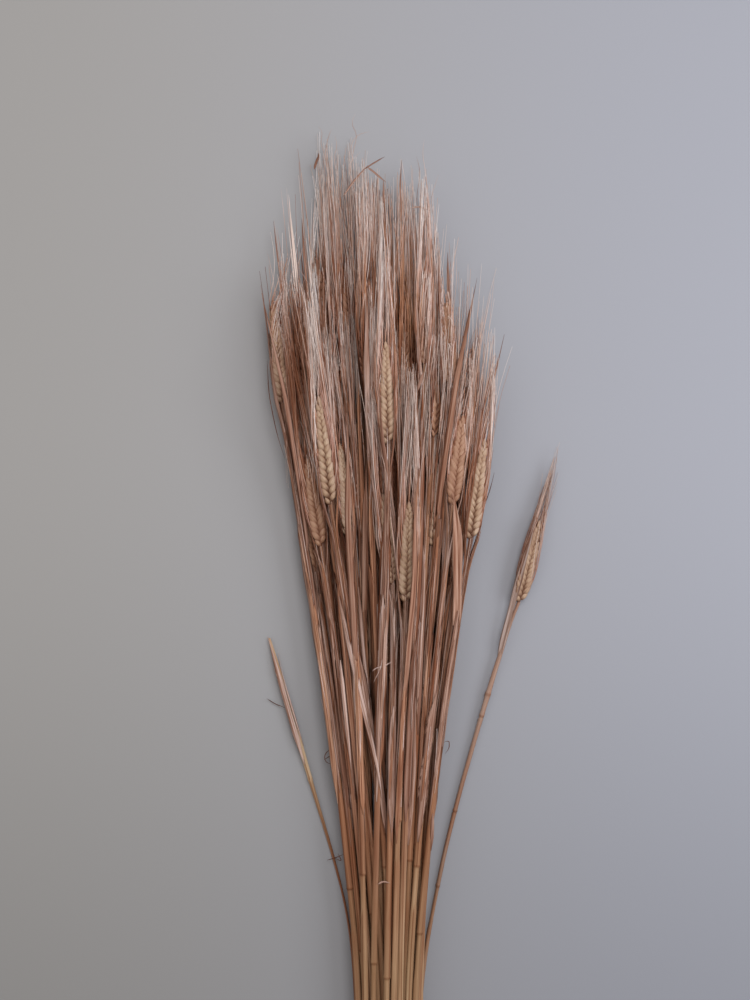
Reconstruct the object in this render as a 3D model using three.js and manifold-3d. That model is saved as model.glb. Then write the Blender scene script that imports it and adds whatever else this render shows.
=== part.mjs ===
// A bundle of dried bearded wheat, lying on its side.
// Millimetres. Y runs along the stalks from the cut ends to the beards, Z is up from the surface.

import * as THREE from "three";
import Module from "manifold-3d";

const wasm = await Module();
wasm.setup();

// Driving dimensions of a stalk
const CUT_Y = -60;
const CUT_SPREAD = 8;
const STATION_STEP = 100;
const SHEATHED_RADIUS = 2.12;
const COLLAR_RADIUS = 1.85;
const BARE_RADIUS = 1.35;
const NECK_RADIUS = 1.15;
const COLLAR_BELOW_EAR = [45, 115];
const COLLAR_STEP = 2.5;
const KNOT_SWELL = 1.22;
const KNOT_WAIST = 0.95;
const KNOT_HALF_LENGTH = 2.6;
const KNOT_ZONE = 70;
const COLLAR_SWELL = 1.05;
const GIRTH_RANGE = [0.92, 1.1];
const STEM_SIDES = 5;
const HAIR = 0.01;
const SMALLEST_EDGE = 0.01;

// Driving dimensions of an ear
const EAR_LENGTH = 79;
const NECK_LENGTH = 4;
const HUSK_LENGTH = 20;
const HUSK_PITCH = 14;
const HUSK_TIERS = 5;
const TOP_TIER = 3.9;
const HUSK_LEAN = 0.28;
const HUSK_BELLY = 0.4;
const HUSK_KEEL = 2.2;
const HUSK_BACK = 0.2;
const HUSK_HALF_WIDTH = 2.7;
const HUSK_TIP = 0.45;
const HUSK_SINK = 0.35;
const HUSK_POINT = 1.35;
const RACHIS_HALF_THICKNESS = 0.7;
const RACHIS_HALF_WIDTH = 2.4;
const RACHIS_START = 1.5;
const RACHIS_END = 3;

// The room that an ear takes as the heap settles: its radius from its foot, 0, to its top, 1
const EAR_GIRTH = [[0, 2.6], [0.31, 5.3], [0.76, 5.3], [1, 4]];

// Driving dimensions of the awns
const AWN_REACH = [78, 112];
const AWN_SPREAD = [0.03, 0.075];
const AWN_DEPTH = 0.06;
const LEFT_EDGE = -45;
const LEFT_SWEEP = 0.1;
const TUFT_RADIUS = 3;
const AWN_RADIUS = 0.45;
const AWN_END_RADIUS = 0.1;
const AWN_SHARE = [0.8, 1];
const AWN_LAG = 0.25;
const AWN_LIFT = 0.2;
const AWN_TIP_GAP = 4;
const AWN_TRIES = 240;

// Where an awn finds no way, it is tried shorter and spread wider, by up to these factors
const CROWDED_REACH = 0.5;
const CROWDED_SPREAD = 1.6;

// Driving dimensions of the leaf blades
const LEAF_THICKNESS = 0.8;
const LEAF_REACH = [110, 200];
const LEAF_HALF_WIDTH = [1.8, 2.9];
const LEAF_ROOT = 4;
const LEAF_ELBOW = 9;
const LEAF_STANDOFF = 1.1;
const LEAF_SIDES = [0.02, 0.98];
const LEAF_AWAY = [0.03, 0.14];
const LEAF_BEND = [-0.4, 1];
const LEAF_HEIGHTS = [1, 34];
const LEAF_SLACK = [-3, 3];
const LEAF_TIP = 0.5;
const TESTED_SHARE = 0.7;
const TESTED_RADIUS = 0.3;
const LEAF_SPACING = 2;
const LEAF_TRIES = 300;
const BLADE_TRIES = 1500;

// The lay of the bundle
const STALK_GAP = 0.45;
const AWN_GAP = 0.5;
const SLICE_STEP = 12;
const FINE_STEP = 4;
const BUNDLE_TOP = 650;
const SETTLING_ROUNDS = 900;
const PULLED_ROUNDS = 0.9;
const FLAT_REACH = 0.25;
const EAR_CLEARANCE = 0.5;
const SEED = 20;

// How the heap settles: how strongly each point is drawn to its wished place, near the cut ends, on
// a stem with a given way and on the rest, how far it sinks in a round, and how stiff a stem is
const FOOT_PULL = 0.3;
const WAY_PULL = 0.15;
const LOOSE_PULL = 0.08;
const SINKING = 0.06;
const SIDE_STIFFNESS = 0.06;
const RISE_STIFFNESS = 0.18;

// Cut ends: how many lie side by side in each row, from the surface up
const BASE_ROWS = [10, 10, 9, 9, 8];
const BASE_PITCH = 4.6;
const BASE_CENTRE = -1;
const ROW_RISE = 4.1;
const RISE_RUN = 250;
const WAY_WEIGHT = 3;
const SPREAD_POWER = 1.55;

// Leaf blades that show at the edges: half the width of each and the two points that it passes.
// The first two grow from given stalks, and each of the others from the nearest that leaves it room.
const BROAD_SHEATH = { half: 3.4, stops: [[50, 335], [47, 372]] };
const FLAG_LEAF = { half: 1.8, stops: [[91, 303], [105, 352]] };
const EDGE_BLADES = [
  { half: 2, stops: [[-77, 432], [-96, 512]] },
  { half: 2.2, stops: [[46, 446], [65, 524]] },
  { half: 1.8, stops: [[72, 440], [83, 482]] },
  { half: 2.2, stops: [[-58, 480], [-65, 554]] },
];
const BLADE_RUN = 45;
const BLADE_SLANT = 0.2;

// Ears that show on top. Each has the place of its foot and of its tip seen from above, the turn
// of its flat side away from straight up, its row of cut ends and, for some, points of its stem.
const SHOWN_STALKS = [
  { foot: [-44, 353], tip: [-52, 433], turn: 0, row: 4, way: [[0, 0], [-1, 101], [-10, 173], [-29, 259]] },
  { foot: [-1, 396], tip: [-3, 472], turn: 0, row: 4 },
  { foot: [12, 283], tip: [14, 357], turn: 0, row: 4 },
  { foot: [46, 353], tip: [53, 420], turn: 0.1, row: 4 },
  { foot: [55, 328], tip: [66, 403], turn: 0, row: 4, collar: 275, blade: BROAD_SHEATH },
  { foot: [27, 454], tip: [26, 522], turn: 0.1, row: 4, reach: 70 },
  { foot: [-27, 331], tip: [-35, 400], turn: 0.5, row: 4 },
  { foot: [6, 296], tip: [-3, 364], turn: 0.4, row: 4 },
  { foot: [32, 323], tip: [37, 392], turn: 1.2, row: 3 },
  { foot: [-50, 323], tip: [-61, 390], turn: 0.2, row: 3 },
  { foot: [-54, 304], tip: [-62, 372], turn: 0.4, row: 3 },
  { foot: [-76, 426], tip: [-83, 501], turn: 0.3, row: 3, reach: 72, sweep: 0.2 },
  { foot: [42, 439], tip: [39, 501], turn: 0.3, row: 3, reach: 56 },
];

// The stalk that strays to the right, and the broken one that strays to the left
const RIGHT_STRAY = {
  foot: [94, 282],
  tip: [109, 346],
  turn: 0.3,
  row: 0,
  reach: 48,
  collar: 250,
  knots: [78, 132, 218],
  blade: FLAG_LEAF,
  way: [[21, 10], [34, 78], [46, 132], [71, 218], [86, 268]],
};
const BROKEN_STALK = {
  end: [-88, 259],
  row: 0,
  knots: [],
  way: [[-27, 43], [-34, 78], [-58, 156], [-72, 202]],
};

// The broken stalk is bare below its knot and sheathed above it: its radius along the bundle
const BROKEN_GIRTH = [[-80, 2.1], [40, 1.5], [152, 1.3], [160, 1.9], [205, 2.1], [262, 1.1]];

// Ears lower in the heap, in two tiers: their number, the range of their feet across the bundle and
// how far their feet lie below the line of the highest ones
const HIDDEN_TIERS = [
  { count: 19, across: [-72, 58], below: [0, 26] },
  { count: 12, across: [-50, 46], below: [88, 150] },
];
const HIDDEN_EAR = [64, 79];
const EAR_PLACE = [0.2, 0.8];
const EAR_FAN = 0.09;
const EAR_LEAN = [-4, 2];

// The line of the highest ears' feet, as points across and along the bundle
const CREST = [
  [-80, 392],
  [-62, 405],
  [-50, 430],
  [-40, 466],
  [-24, 466],
  [0, 440],
  [25, 430],
  [40, 392],
  [70, 356],
];

// A repeatable source of draws from 0 to 1
function seeded(seed) {
  let state = seed >>> 0;
  return () => {
    state = (state + 0x6d2b79f5) >>> 0;
    let mixed = Math.imul(state ^ (state >>> 15), state | 1);
    mixed ^= mixed + Math.imul(mixed ^ (mixed >>> 7), mixed | 61);
    return ((mixed ^ (mixed >>> 14)) >>> 0) / 4294967296;
  };
}

const draw = seeded(SEED);
const mix = THREE.MathUtils.lerp;
const between = (range) => mix(range[0], range[1], draw());

// The height of a line of points at a place across the bundle
function lineAt(line, x) {
  const next = Math.max(1, line.findIndex((p) => p[0] >= x));
  const [a, b] = [line[next - 1], line[next]];
  return mix(a[1], b[1], (x - a[0]) / (b[0] - a[0]));
}

// The whole heap as a list of stalks, each with its targets
function planStalks() {
  const hidden = HIDDEN_TIERS.flatMap(({ count, across, below }) =>
    Array.from({ length: count }, (_, i) => {
      const x = mix(across[0], across[1], (i + between(EAR_PLACE)) / count);
      const y = lineAt(CREST, x) - between(below);
      const lean = x * EAR_FAN + between(EAR_LEAN);
      return { foot: [x, y], tip: [x + lean, y + between(HIDDEN_EAR)], turn: Math.PI * draw() };
    }),
  );
  const openRows = BASE_ROWS.map((size, row) => {
    const taken = [...SHOWN_STALKS, RIGHT_STRAY, BROKEN_STALK].filter((s) => s.row === row);
    return { row, free: size - taken.length };
  });
  const slots = openRows.flatMap(({ row, free }) => Array(free).fill(row));
  const deck = hidden.map((stalk) => ({ stalk, order: draw() }));
  deck.sort((a, b) => a.order - b.order);
  deck.forEach(({ stalk }, i) => {
    stalk.row = slots[i];
  });
  const stalks = [...SHOWN_STALKS, RIGHT_STRAY, ...hidden, BROKEN_STALK].map((s) => ({ ...s }));
  BASE_ROWS.forEach((size, row) => {
    const members = stalks.filter((s) => s.row === row);
    const side = (s) => (s.way ? s.way[0][0] * WAY_WEIGHT : s.foot[0]);
    members.sort((a, b) => side(a) - side(b));
    members.forEach((s, i) => {
      s.cutX = BASE_CENTRE + (i - (size - 1) / 2) * BASE_PITCH;
    });
  });
  return stalks;
}

// The radius that a stalk fills at a height along the bundle
function stalkRadius(stalk, y) {
  if (!stalk.ear) return THREE.MathUtils.clamp(lineAt(BROKEN_GIRTH, y), 1, SHEATHED_RADIUS);
  if (y < stalk.collarY) {
    const share = (y - CUT_Y) / (stalk.collarY - CUT_Y);
    return stalk.girth * mix(SHEATHED_RADIUS, COLLAR_RADIUS, share);
  }
  if (y >= stalk.neckY) {
    const along = (y - stalk.neckY) / stalk.earLength;
    return along > 1 ? TUFT_RADIUS : lineAt(EAR_GIRTH, along);
  }
  const share = (y - stalk.collarY) / (stalk.neckY - stalk.collarY);
  return stalk.girth * mix(BARE_RADIUS, NECK_RADIUS, share);
}

// Gives each stalk its points along the bundle, each with a wished place across it
function stringStalk(stalk) {
  stalk.ear = Boolean(stalk.foot);
  stalk.girth = between(GIRTH_RANGE);
  stalk.cutY = CUT_Y + CUT_SPREAD * mix(-1, 1, draw());
  const end = stalk.ear ? stalk.foot : stalk.end;
  stalk.neckY = end[1];
  const below = between(COLLAR_BELOW_EAR);
  stalk.collarY = stalk.collar ?? (stalk.ear ? stalk.neckY - below : stalk.neckY);
  stalk.awnReach = stalk.reach ?? between(AWN_REACH);
  stalk.earLength = stalk.ear ? stalk.tip[1] - stalk.foot[1] : 0;
  const even = [];
  for (let y = CUT_Y + STATION_STEP; y < stalk.neckY - STATION_STEP / 3; y += STATION_STEP) {
    even.push(y);
  }
  const ys = [stalk.cutY, ...(stalk.way?.map((p) => p[1]) ?? even), stalk.neckY];
  const route = [[stalk.cutX, CUT_Y], ...(stalk.way ?? []), end];
  const wished = (y) => {
    if (!stalk.way) {
      const share = Math.max(0, (y - CUT_Y) / (stalk.neckY - CUT_Y));
      return mix(stalk.cutX, end[0], share ** SPREAD_POWER);
    }
    const next = Math.max(1, route.findIndex((p) => p[1] >= y));
    const [a, b] = [route[next - 1], route[next]];
    return mix(a[0], b[0], (y - a[1]) / (b[1] - a[1]));
  };
  stalk.points = ys.map((y) => ({ y, wish: wished(y) }));
  if (stalk.ear) {
    const reach = stalk.earLength + stalk.awnReach;
    const lean = (stalk.tip[0] - stalk.foot[0]) / stalk.earLength;
    stalk.points.push({ y: stalk.neckY + reach, wish: stalk.foot[0] + lean * reach });
  }
  const lift = stalk.row * ROW_RISE;
  stalk.points.forEach((p) => {
    p.x = p.wish;
    p.z = SHEATHED_RADIUS + lift * (1 + Math.max(0, p.y) / RISE_RUN);
  });
}

// The two points of a stalk around a height, and how far between them it lies
function spanAt(stalk, y) {
  const { points } = stalk;
  if (y < points[0].y || y > points.at(-1).y) return null;
  const next = Math.max(1, points.findIndex((p) => p.y >= y));
  const [a, b] = [points[next - 1], points[next]];
  return { a, b, t: (y - a.y) / (b.y - a.y) };
}

function placeAt(stalk, y) {
  const { a, b, t } = spanAt(stalk, y);
  return [mix(a.x, b.x, t), mix(a.z, b.z, t)];
}

// Moves a stalk at one height by moving the two points around it
function nudge({ a, b, t }, dx, dz) {
  const share = 1 / ((1 - t) ** 2 + t ** 2);
  a.x += dx * share * (1 - t);
  a.z += dz * share * (1 - t);
  b.x += dx * share * t;
  b.z += dz * share * t;
}

const flatRadius = (r) => r * Math.cos(Math.PI / STEM_SIDES);

// Lets the heap settle: stalks sink, pull towards their wished places, stay straight and keep apart
function settle(stalks) {
  const slices = [];
  for (let y = CUT_Y - CUT_SPREAD; y <= BUNDLE_TOP; y += SLICE_STEP) {
    const members = stalks
      .map((stalk) => ({ span: spanAt(stalk, y), r: stalkRadius(stalk, y), rests: y < stalk.neckY }))
      .filter((m) => m.span);
    slices.push(members);
  }
  for (let round = 0; round < SETTLING_ROUNDS; round++) {
    const calm = Math.min(1, (2 * (SETTLING_ROUNDS - round)) / SETTLING_ROUNDS);
    const free = round < SETTLING_ROUNDS * PULLED_ROUNDS;
    for (const stalk of free ? stalks : []) {
      stalk.points.forEach((p, i) => {
        const drawn = stalk.way ? WAY_PULL : LOOSE_PULL;
        const pull = i < 2 ? FOOT_PULL : drawn;
        p.z -= SINKING * calm;
        p.x += (p.wish - p.x) * pull * calm;
        const before = stalk.points[i - 1];
        const after = stalk.points[i + 1];
        if (!before || !after) return;
        const t = (p.y - before.y) / (after.y - before.y);
        p.x += (mix(before.x, after.x, t) - p.x) * SIDE_STIFFNESS * calm;
        p.z += (mix(before.z, after.z, t) - p.z) * RISE_STIFFNESS * calm;
      });
    }
    for (const members of slices) separate(members);
  }
  stalks.forEach((stalk) => layFlat(stalk));
}

// Lays the points that have come down to the surface exactly on it
function layFlat(stalk) {
  for (const p of stalk.points) {
    if (p.y > stalk.neckY) continue;
    const low = flatRadius(stalkRadius(stalk, Math.min(p.y, stalk.neckY - HAIR)));
    if (p.z < low + FLAT_REACH) p.z = low;
  }
}

function separate(members) {
  for (let i = 0; i < members.length; i++) {
    const { span, r, rests } = members[i];
    const low = rests ? flatRadius(r) : r + EAR_CLEARANCE;
    const z = mix(span.a.z, span.b.z, span.t);
    if (z < low) nudge(span, 0, low - z);
    for (let j = i + 1; j < members.length; j++) {
      const other = members[j];
      const dx = mix(other.span.a.x, other.span.b.x, other.span.t) - mix(span.a.x, span.b.x, span.t);
      const dz = mix(other.span.a.z, other.span.b.z, other.span.t) - mix(span.a.z, span.b.z, span.t);
      const apart = Math.hypot(dx, dz) || 1e-6;
      const push = (r + other.r + STALK_GAP - apart) / 2;
      if (push <= 0) continue;
      nudge(span, (-push * dx) / apart, (-push * dz) / apart);
      nudge(other.span, (push * dx) / apart, (push * dz) / apart);
    }
  }
}

// What already fills each thin slice across the bundle, as round spots
const occupied = new Map();
const sliceOf = (y) => Math.round(y / FINE_STEP);

function occupy(owner, y, x, z, r) {
  const key = sliceOf(y);
  if (!occupied.has(key)) occupied.set(key, []);
  occupied.get(key).push({ owner, x, z, r });
}

// Calls back at each thin slice that a straight piece passes, with its place there
function alongSlices(start, end, visit) {
  const first = Math.ceil(Math.min(start.y, end.y) / FINE_STEP);
  const last = Math.floor(Math.max(start.y, end.y) / FINE_STEP);
  for (let k = first; k <= last; k++) {
    const y = k * FINE_STEP;
    const t = (y - start.y) / (end.y - start.y);
    if (visit(y, mix(start.x, end.x, t), mix(start.z, end.z, t), t) === false) return false;
  }
  return true;
}

// True where a straight piece keeps clear of the surface and of every spot that it may not pass
function isClear(start, end, r0, r1, passes) {
  return alongSlices(start, end, (y, x, z, t) => {
    const r = mix(r0, r1, t);
    if (z < r + AWN_LIFT) return false;
    const near = (spot) => !passes(spot, y) && Math.hypot(spot.x - x, spot.z - z) < spot.r + r + AWN_GAP;
    return !(occupied.get(sliceOf(y)) ?? []).some(near);
  });
}

function claim(owner, start, end, r0, r1) {
  alongSlices(start, end, (y, x, z, t) => occupy(owner, y, x, z, mix(r0, r1, t)));
}

// One closed solid through rings of points; a ring of one point is a tip
function loft(rings) {
  const points = rings.flat();
  const index = [];
  let first = 0;
  rings.slice(1).forEach((ring, i) => {
    const below = rings[i];
    const second = first + below.length;
    const sides = Math.max(ring.length, below.length);
    for (let k = 0; k < sides; k++) {
      const next = (k + 1) % sides;
      const [a, b] = below.length > 1 ? [first + k, first + next] : [first, first];
      const [c, d] = ring.length > 1 ? [second + k, second + next] : [second, second];
      if (a !== b) index.push(a, b, d);
      if (c !== d) index.push(a, d, c);
    }
    first = second;
  });
  const cap = (start, size, turned) => {
    for (let k = 1; k < size - 1; k++) {
      const corners = [start, start + k, start + k + 1];
      index.push(...(turned ? corners.reverse() : corners));
    }
  };
  cap(0, rings[0].length, true);
  cap(first, rings.at(-1).length, false);
  const made = new THREE.BufferGeometry().setFromPoints(points);
  made.setIndex(index);
  return made;
}

function solidOf(geometry) {
  const vertProperties = geometry.getAttribute("position").array;
  const triVerts = new Uint32Array(geometry.index.array);
  return new wasm.Manifold(new wasm.Mesh({ numProp: 3, vertProperties, triVerts }));
}

function geometryOf(solid) {
  const mesh = solid.getMesh();
  const geometry = new THREE.BufferGeometry();
  geometry.setAttribute("position", new THREE.BufferAttribute(mesh.vertProperties, 3));
  geometry.setIndex(new THREE.BufferAttribute(mesh.triVerts, 1));
  geometry.computeVertexNormals();
  return geometry;
}

// A ring of the stem, level across the bundle, with one side flat to the surface below
function stemRing(x, y, z, r) {
  return Array.from({ length: STEM_SIDES }, (_, k) => {
    const angle = -Math.PI / 2 - ((k + 0.5) * 2 * Math.PI) / STEM_SIDES;
    return new THREE.Vector3(x + r * Math.cos(angle), y, z + r * Math.sin(angle));
  });
}

// The stem: sheathed below its collar, bare above, swollen at its knots
function stemOf(stalk) {
  const stops = stalk.points.map((p) => p.y).filter((y) => y <= stalk.neckY);
  const rings = stops.map((y) => ({ y, swell: 1 }));
  for (const y of stalk.knots) {
    rings.push({ y: y - KNOT_HALF_LENGTH, swell: KNOT_WAIST }, { y, swell: KNOT_SWELL });
  }
  if (stalk.ear) {
    rings.push({ y: stalk.collarY - HAIR, swell: COLLAR_SWELL });
    rings.push({ y: stalk.collarY + COLLAR_STEP, swell: 1 });
    rings.push({ y: stalk.neckY + NECK_LENGTH, fixed: NECK_RADIUS });
  }
  rings.sort((a, b) => a.y - b.y);
  const made = rings.map(({ y, swell, fixed }) => {
    const [x, z] = placeAt(stalk, y);
    const r = fixed ?? stalkRadius(stalk, Math.min(y, stalk.neckY - HAIR)) * swell;
    return stemRing(x, y, Math.max(z, flatRadius(r)), r);
  });
  return solidOf(loft(stalk.ear ? [...made, ...rachisRings(stalk, made.at(-1))] : made));
}

// The ear's own axes: along it, across its flat side, and out of its flat side
function earAxes(stalk) {
  const [foot, far] = stalk.points.slice(-2).map((p) => new THREE.Vector3(p.x, p.y, p.z));
  const along = far.clone().sub(foot).normalize();
  const up = new THREE.Vector3(0, 0, 1);
  const out = up.addScaledVector(along, -up.dot(along)).normalize();
  out.applyAxisAngle(along, stalk.turn);
  const across = new THREE.Vector3().crossVectors(along, out);
  return { foot, along, across, out };
}

// How much shorter an ear is than the longest, and how high a tier of its husks is rooted
const earScale = (earLength) => (earLength - NECK_LENGTH) / (EAR_LENGTH - NECK_LENGTH);
const tierHeight = (tier, earLength) =>
  NECK_LENGTH + (RACHIS_START + tier * HUSK_PITCH) * earScale(earLength);

// The rachis inside the ear: the stem flattened to a strap that the husks stand out of
function rachisRings({ axes, earLength }, neck) {
  const { foot, along, across, out } = axes;
  const corners = [[1, 1], [1, -1], [0, -1], [-1, -1], [-1, 1]];
  const ring = (height) =>
    corners.map(([a, b]) =>
      foot
        .clone()
        .addScaledVector(along, height)
        .addScaledVector(across, a * RACHIS_HALF_THICKNESS)
        .addScaledVector(out, b * RACHIS_HALF_WIDTH),
    );
  const turned = (points, by) => points.map((_, k) => points[(k + by) % points.length]);
  const low = ring(NECK_LENGTH + RACHIS_START);
  const twist = (by) => turned(low, by).reduce((sum, p, k) => sum + p.distanceTo(neck[k]), 0);
  const turns = corners.map((_, by) => by);
  const best = turns.reduce((a, b) => (twist(b) < twist(a) ? b : a));
  const top = tierHeight(TOP_TIER, earLength) + RACHIS_END;
  return [turned(low, best), turned(ring(top), best)];
}

// One husk with its awn: a three-sided spindle, keeled outwards, drawn out to the awn's tip
function huskRings({ root, lean, keelWay, tip, awnTip, scale }) {
  const side = new THREE.Vector3().crossVectors(lean, keelWay).normalize();
  const ring = (centre, keel, back, half) => [
    centre.clone().addScaledVector(keelWay, keel),
    centre.clone().addScaledVector(keelWay, -back).addScaledVector(side, half),
    centre.clone().addScaledVector(keelWay, -back).addScaledVector(side, -half),
  ];
  const belly = root.clone().addScaledVector(lean, HUSK_LENGTH * HUSK_BELLY * scale);
  return [
    [root],
    ring(belly, HUSK_KEEL, HUSK_BACK, HUSK_HALF_WIDTH),
    ring(tip, HUSK_TIP, HUSK_TIP / 2, HUSK_TIP * Math.cos(Math.PI / 6)),
    [awnTip ?? tip.clone().addScaledVector(lean, HUSK_POINT)],
  ];
}

// The husks of an ear: two ranks up its sides and one at its top
function husksOf(stalk) {
  const { foot, along, across, out } = stalk.axes;
  const scale = earScale(stalk.earLength);
  const husks = [];
  const place = (tier, side) => {
    const height = tierHeight(tier, stalk.earLength);
    const lean = along.clone();
    if (side) lean.addScaledVector(across, side * HUSK_LEAN).normalize();
    const keelWay = side ? across.clone().multiplyScalar(side) : out.clone();
    keelWay.addScaledVector(lean, -keelWay.dot(lean)).normalize();
    const root = foot.clone().addScaledVector(along, height).addScaledVector(keelWay, -HUSK_SINK);
    const tip = root.clone().addScaledVector(lean, HUSK_LENGTH * scale);
    husks.push({ height, root, lean, keelWay, tip, side, scale });
  };
  for (let tier = 0; tier < HUSK_TIERS - 1; tier++) {
    place(tier, 1);
    place(tier + 0.5, -1);
  }
  place(TOP_TIER, 0);
  return husks;
}

// Finds a clear way for each awn, and remembers it
function growAwns(stalk) {
  const { along, across, out } = stalk.axes;
  const sweep = stalk.sweep ?? (stalk.foot[0] < LEFT_EDGE ? LEFT_SWEEP : 0);
  for (const husk of stalk.husks) {
    for (let attempt = 0; attempt < AWN_TRIES && !husk.awnTip; attempt++) {
      const crowding = attempt / AWN_TRIES;
      const lag = (stalk.earLength - husk.height) * AWN_LAG;
      const past = stalk.awnReach * between(AWN_SHARE) * mix(1, CROWDED_REACH, crowding);
      const reach = stalk.earLength + past - lag;
      const wide = between(AWN_SPREAD) * mix(1, CROWDED_SPREAD, crowding);
      const deep = mix(-AWN_DEPTH, AWN_DEPTH, draw());
      const run = reach - husk.height - HUSK_LENGTH * husk.scale;
      const tip = husk.tip.clone().addScaledVector(along, run);
      tip.addScaledVector(across, (husk.side || mix(-1, 1, draw())) * wide * run);
      tip.addScaledVector(out, deep * run);
      tip.x += sweep * run;
      const grown = stalk.husks.filter((h) => h.awnTip);
      if (grown.some((h) => h.awnTip.distanceTo(tip) < AWN_TIP_GAP)) continue;
      const passes = (spot) => spot.owner === stalk;
      if (!isClear(husk.tip, tip, AWN_RADIUS, AWN_END_RADIUS, passes)) continue;
      claim(stalk, husk.tip, tip, AWN_RADIUS, AWN_END_RADIUS);
      husk.awnTip = tip;
    }
  }
}

// A dry leaf blade: a strip of flat diamond section through level rings
function leafOf({ stops, flat, face }) {
  const rings = stops.map(({ p, half }) => [
    p.clone().addScaledVector(flat, -half),
    p.clone().addScaledVector(face, -LEAF_THICKNESS / 2),
    p.clone().addScaledVector(flat, half),
    p.clone().addScaledVector(face, LEAF_THICKNESS / 2),
  ]);
  return solidOf(loft(rings));
}

// Where a leaf may go: out of its collar, then along two straight runs
function leafPath(stalk, root, reach, stops) {
  const angle = between(LEAF_SIDES) * Math.PI;
  const away = (between(LEAF_AWAY) * reach) / 2;
  const bend = between(LEAF_BEND);
  const way = new THREE.Vector3(Math.cos(angle), 0, Math.sin(angle));
  const elbow = root.clone().addScaledVector(way, stalkRadius(stalk, root.y) + LEAF_STANDOFF);
  elbow.y += LEAF_ELBOW;
  if (stops) {
    const ends = stops.map(([x, y]) => new THREE.Vector3(x + between(LEAF_SLACK), y, between(LEAF_HEIGHTS)));
    return { way, points: [root, elbow, ...ends] };
  }
  const middle = elbow.clone().addScaledVector(way, away);
  const end = middle.clone().addScaledVector(way, away * bend);
  middle.y += reach / 2;
  end.y += reach;
  return { way, points: [root, elbow, middle, end] };
}

// Finds a clear way for a leaf by testing lines side by side across its width
function growLeaf(stalk, { reach = 0, half, stops }, tries) {
  const rootY = stalk.collarY - LEAF_ROOT;
  const [x, z] = placeAt(stalk, rootY);
  const root = new THREE.Vector3(x, rootY, z);
  for (let attempt = 0; attempt < tries; attempt++) {
    const { way, points } = leafPath(stalk, root, reach, stops);
    const flat = new THREE.Vector3(-way.z, 0, way.x);
    const halves = [Math.min(1, half / 2), half * 0.8, half, LEAF_TIP];
    const passes = (spot, y) => spot.owner === stalk && y < root.y + 2 * LEAF_ELBOW;
    const lines = [-1, 0, 1].flatMap((side) =>
      [1, 2].map((k) => {
        const shifted = (i) => points[i].clone().addScaledVector(flat, side * halves[i] * TESTED_SHARE);
        const radius = (i) => (halves[i] + 1) * TESTED_RADIUS;
        return [shifted(k), shifted(k + 1), radius(k), radius(k + 1)];
      }),
    );
    if (!lines.every((line) => isClear(...line, passes))) continue;
    lines.forEach((line) => claim(stalk, ...line));
    return { stops: points.map((p, i) => ({ p, half: halves[i] })), flat, face: way };
  }
  return null;
}

// Grows a blade that shows at the edge from the nearest stalk that leaves it room
function growEdgeBlade(blade, stalks) {
  const [x, y] = blade.stops[0];
  const free = stalks.filter((s) => s.ear && !s.leaf && !s.blade && s.collarY < y - BLADE_RUN);
  const reachOf = (s) => Math.hypot(placeAt(s, s.collarY)[0] - x, (s.collarY - y) * BLADE_SLANT);
  free.sort((a, b) => reachOf(a) - reachOf(b));
  for (const owner of free) {
    owner.leaf = growLeaf(owner, blade, BLADE_TRIES);
    if (owner.leaf) return;
  }
}

const stalks = planStalks();
stalks.forEach(stringStalk);
settle(stalks);

for (const stalk of stalks) {
  const knotY = mix(0, stalk.collarY - KNOT_ZONE, draw());
  stalk.knots ??= [knotY];
  const end = stalk.neckY + stalk.earLength;
  for (let k = Math.ceil(stalk.cutY / FINE_STEP); k * FINE_STEP <= end; k++) {
    const y = k * FINE_STEP;
    occupy(stalk, y, ...placeAt(stalk, y), stalkRadius(stalk, y));
  }
  if (stalk.ear) {
    stalk.axes = earAxes(stalk);
    stalk.husks = husksOf(stalk);
  }
}

for (const stalk of stalks) {
  if (stalk.blade) stalk.leaf = growLeaf(stalk, stalk.blade, BLADE_TRIES);
}
EDGE_BLADES.forEach((blade) => growEdgeBlade(blade, stalks));
stalks.filter((s) => s.ear).forEach(growAwns);
stalks.forEach((stalk, i) => {
  if (!stalk.ear || stalk.leaf || i % LEAF_SPACING) return;
  stalk.leaf = growLeaf(stalk, { reach: between(LEAF_REACH), half: between(LEAF_HALF_WIDTH) }, LEAF_TRIES);
});

// Dusty dyed pink, straw and brown: the dye took unevenly from stalk to stalk
const DYED = new THREE.Color(0xab8474);
const STRAW = new THREE.Color(0xc19c72);
const BROWN = new THREE.Color(0x8f6448);
const STRAW_SHARE = 0.4;
const TINT_SHARE = [0, 0.8];

function colourOf() {
  const other = draw() < STRAW_SHARE ? STRAW : BROWN;
  const tint = DYED.clone().lerp(other, between(TINT_SHARE));
  return new THREE.MeshStandardMaterial({ color: tint, roughness: 0.75, metalness: 0 });
}

const bundle = new THREE.Group();
stalks.forEach((stalk, i) => {
  let solid = stemOf(stalk);
  for (const husk of stalk.husks ?? []) solid = solid.add(solidOf(loft(huskRings(husk))));
  if (stalk.leaf) solid = solid.add(leafOf(stalk.leaf));
  solid = solid.simplify(SMALLEST_EDGE);
  const mesh = new THREE.Mesh(geometryOf(solid), colourOf());
  mesh.name = stalk.ear ? "stalk_" + String(i + 1).padStart(2, "0") : "broken_stalk";
  bundle.add(mesh);
});

// The origin is under the middle of the bundle, on the surface
const extent = new THREE.Box3().setFromObject(bundle);
const middle = extent.getCenter(new THREE.Vector3());
bundle.position.set(-middle.x, -middle.y, -extent.min.z);

export default bundle;
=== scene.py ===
import math

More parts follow.
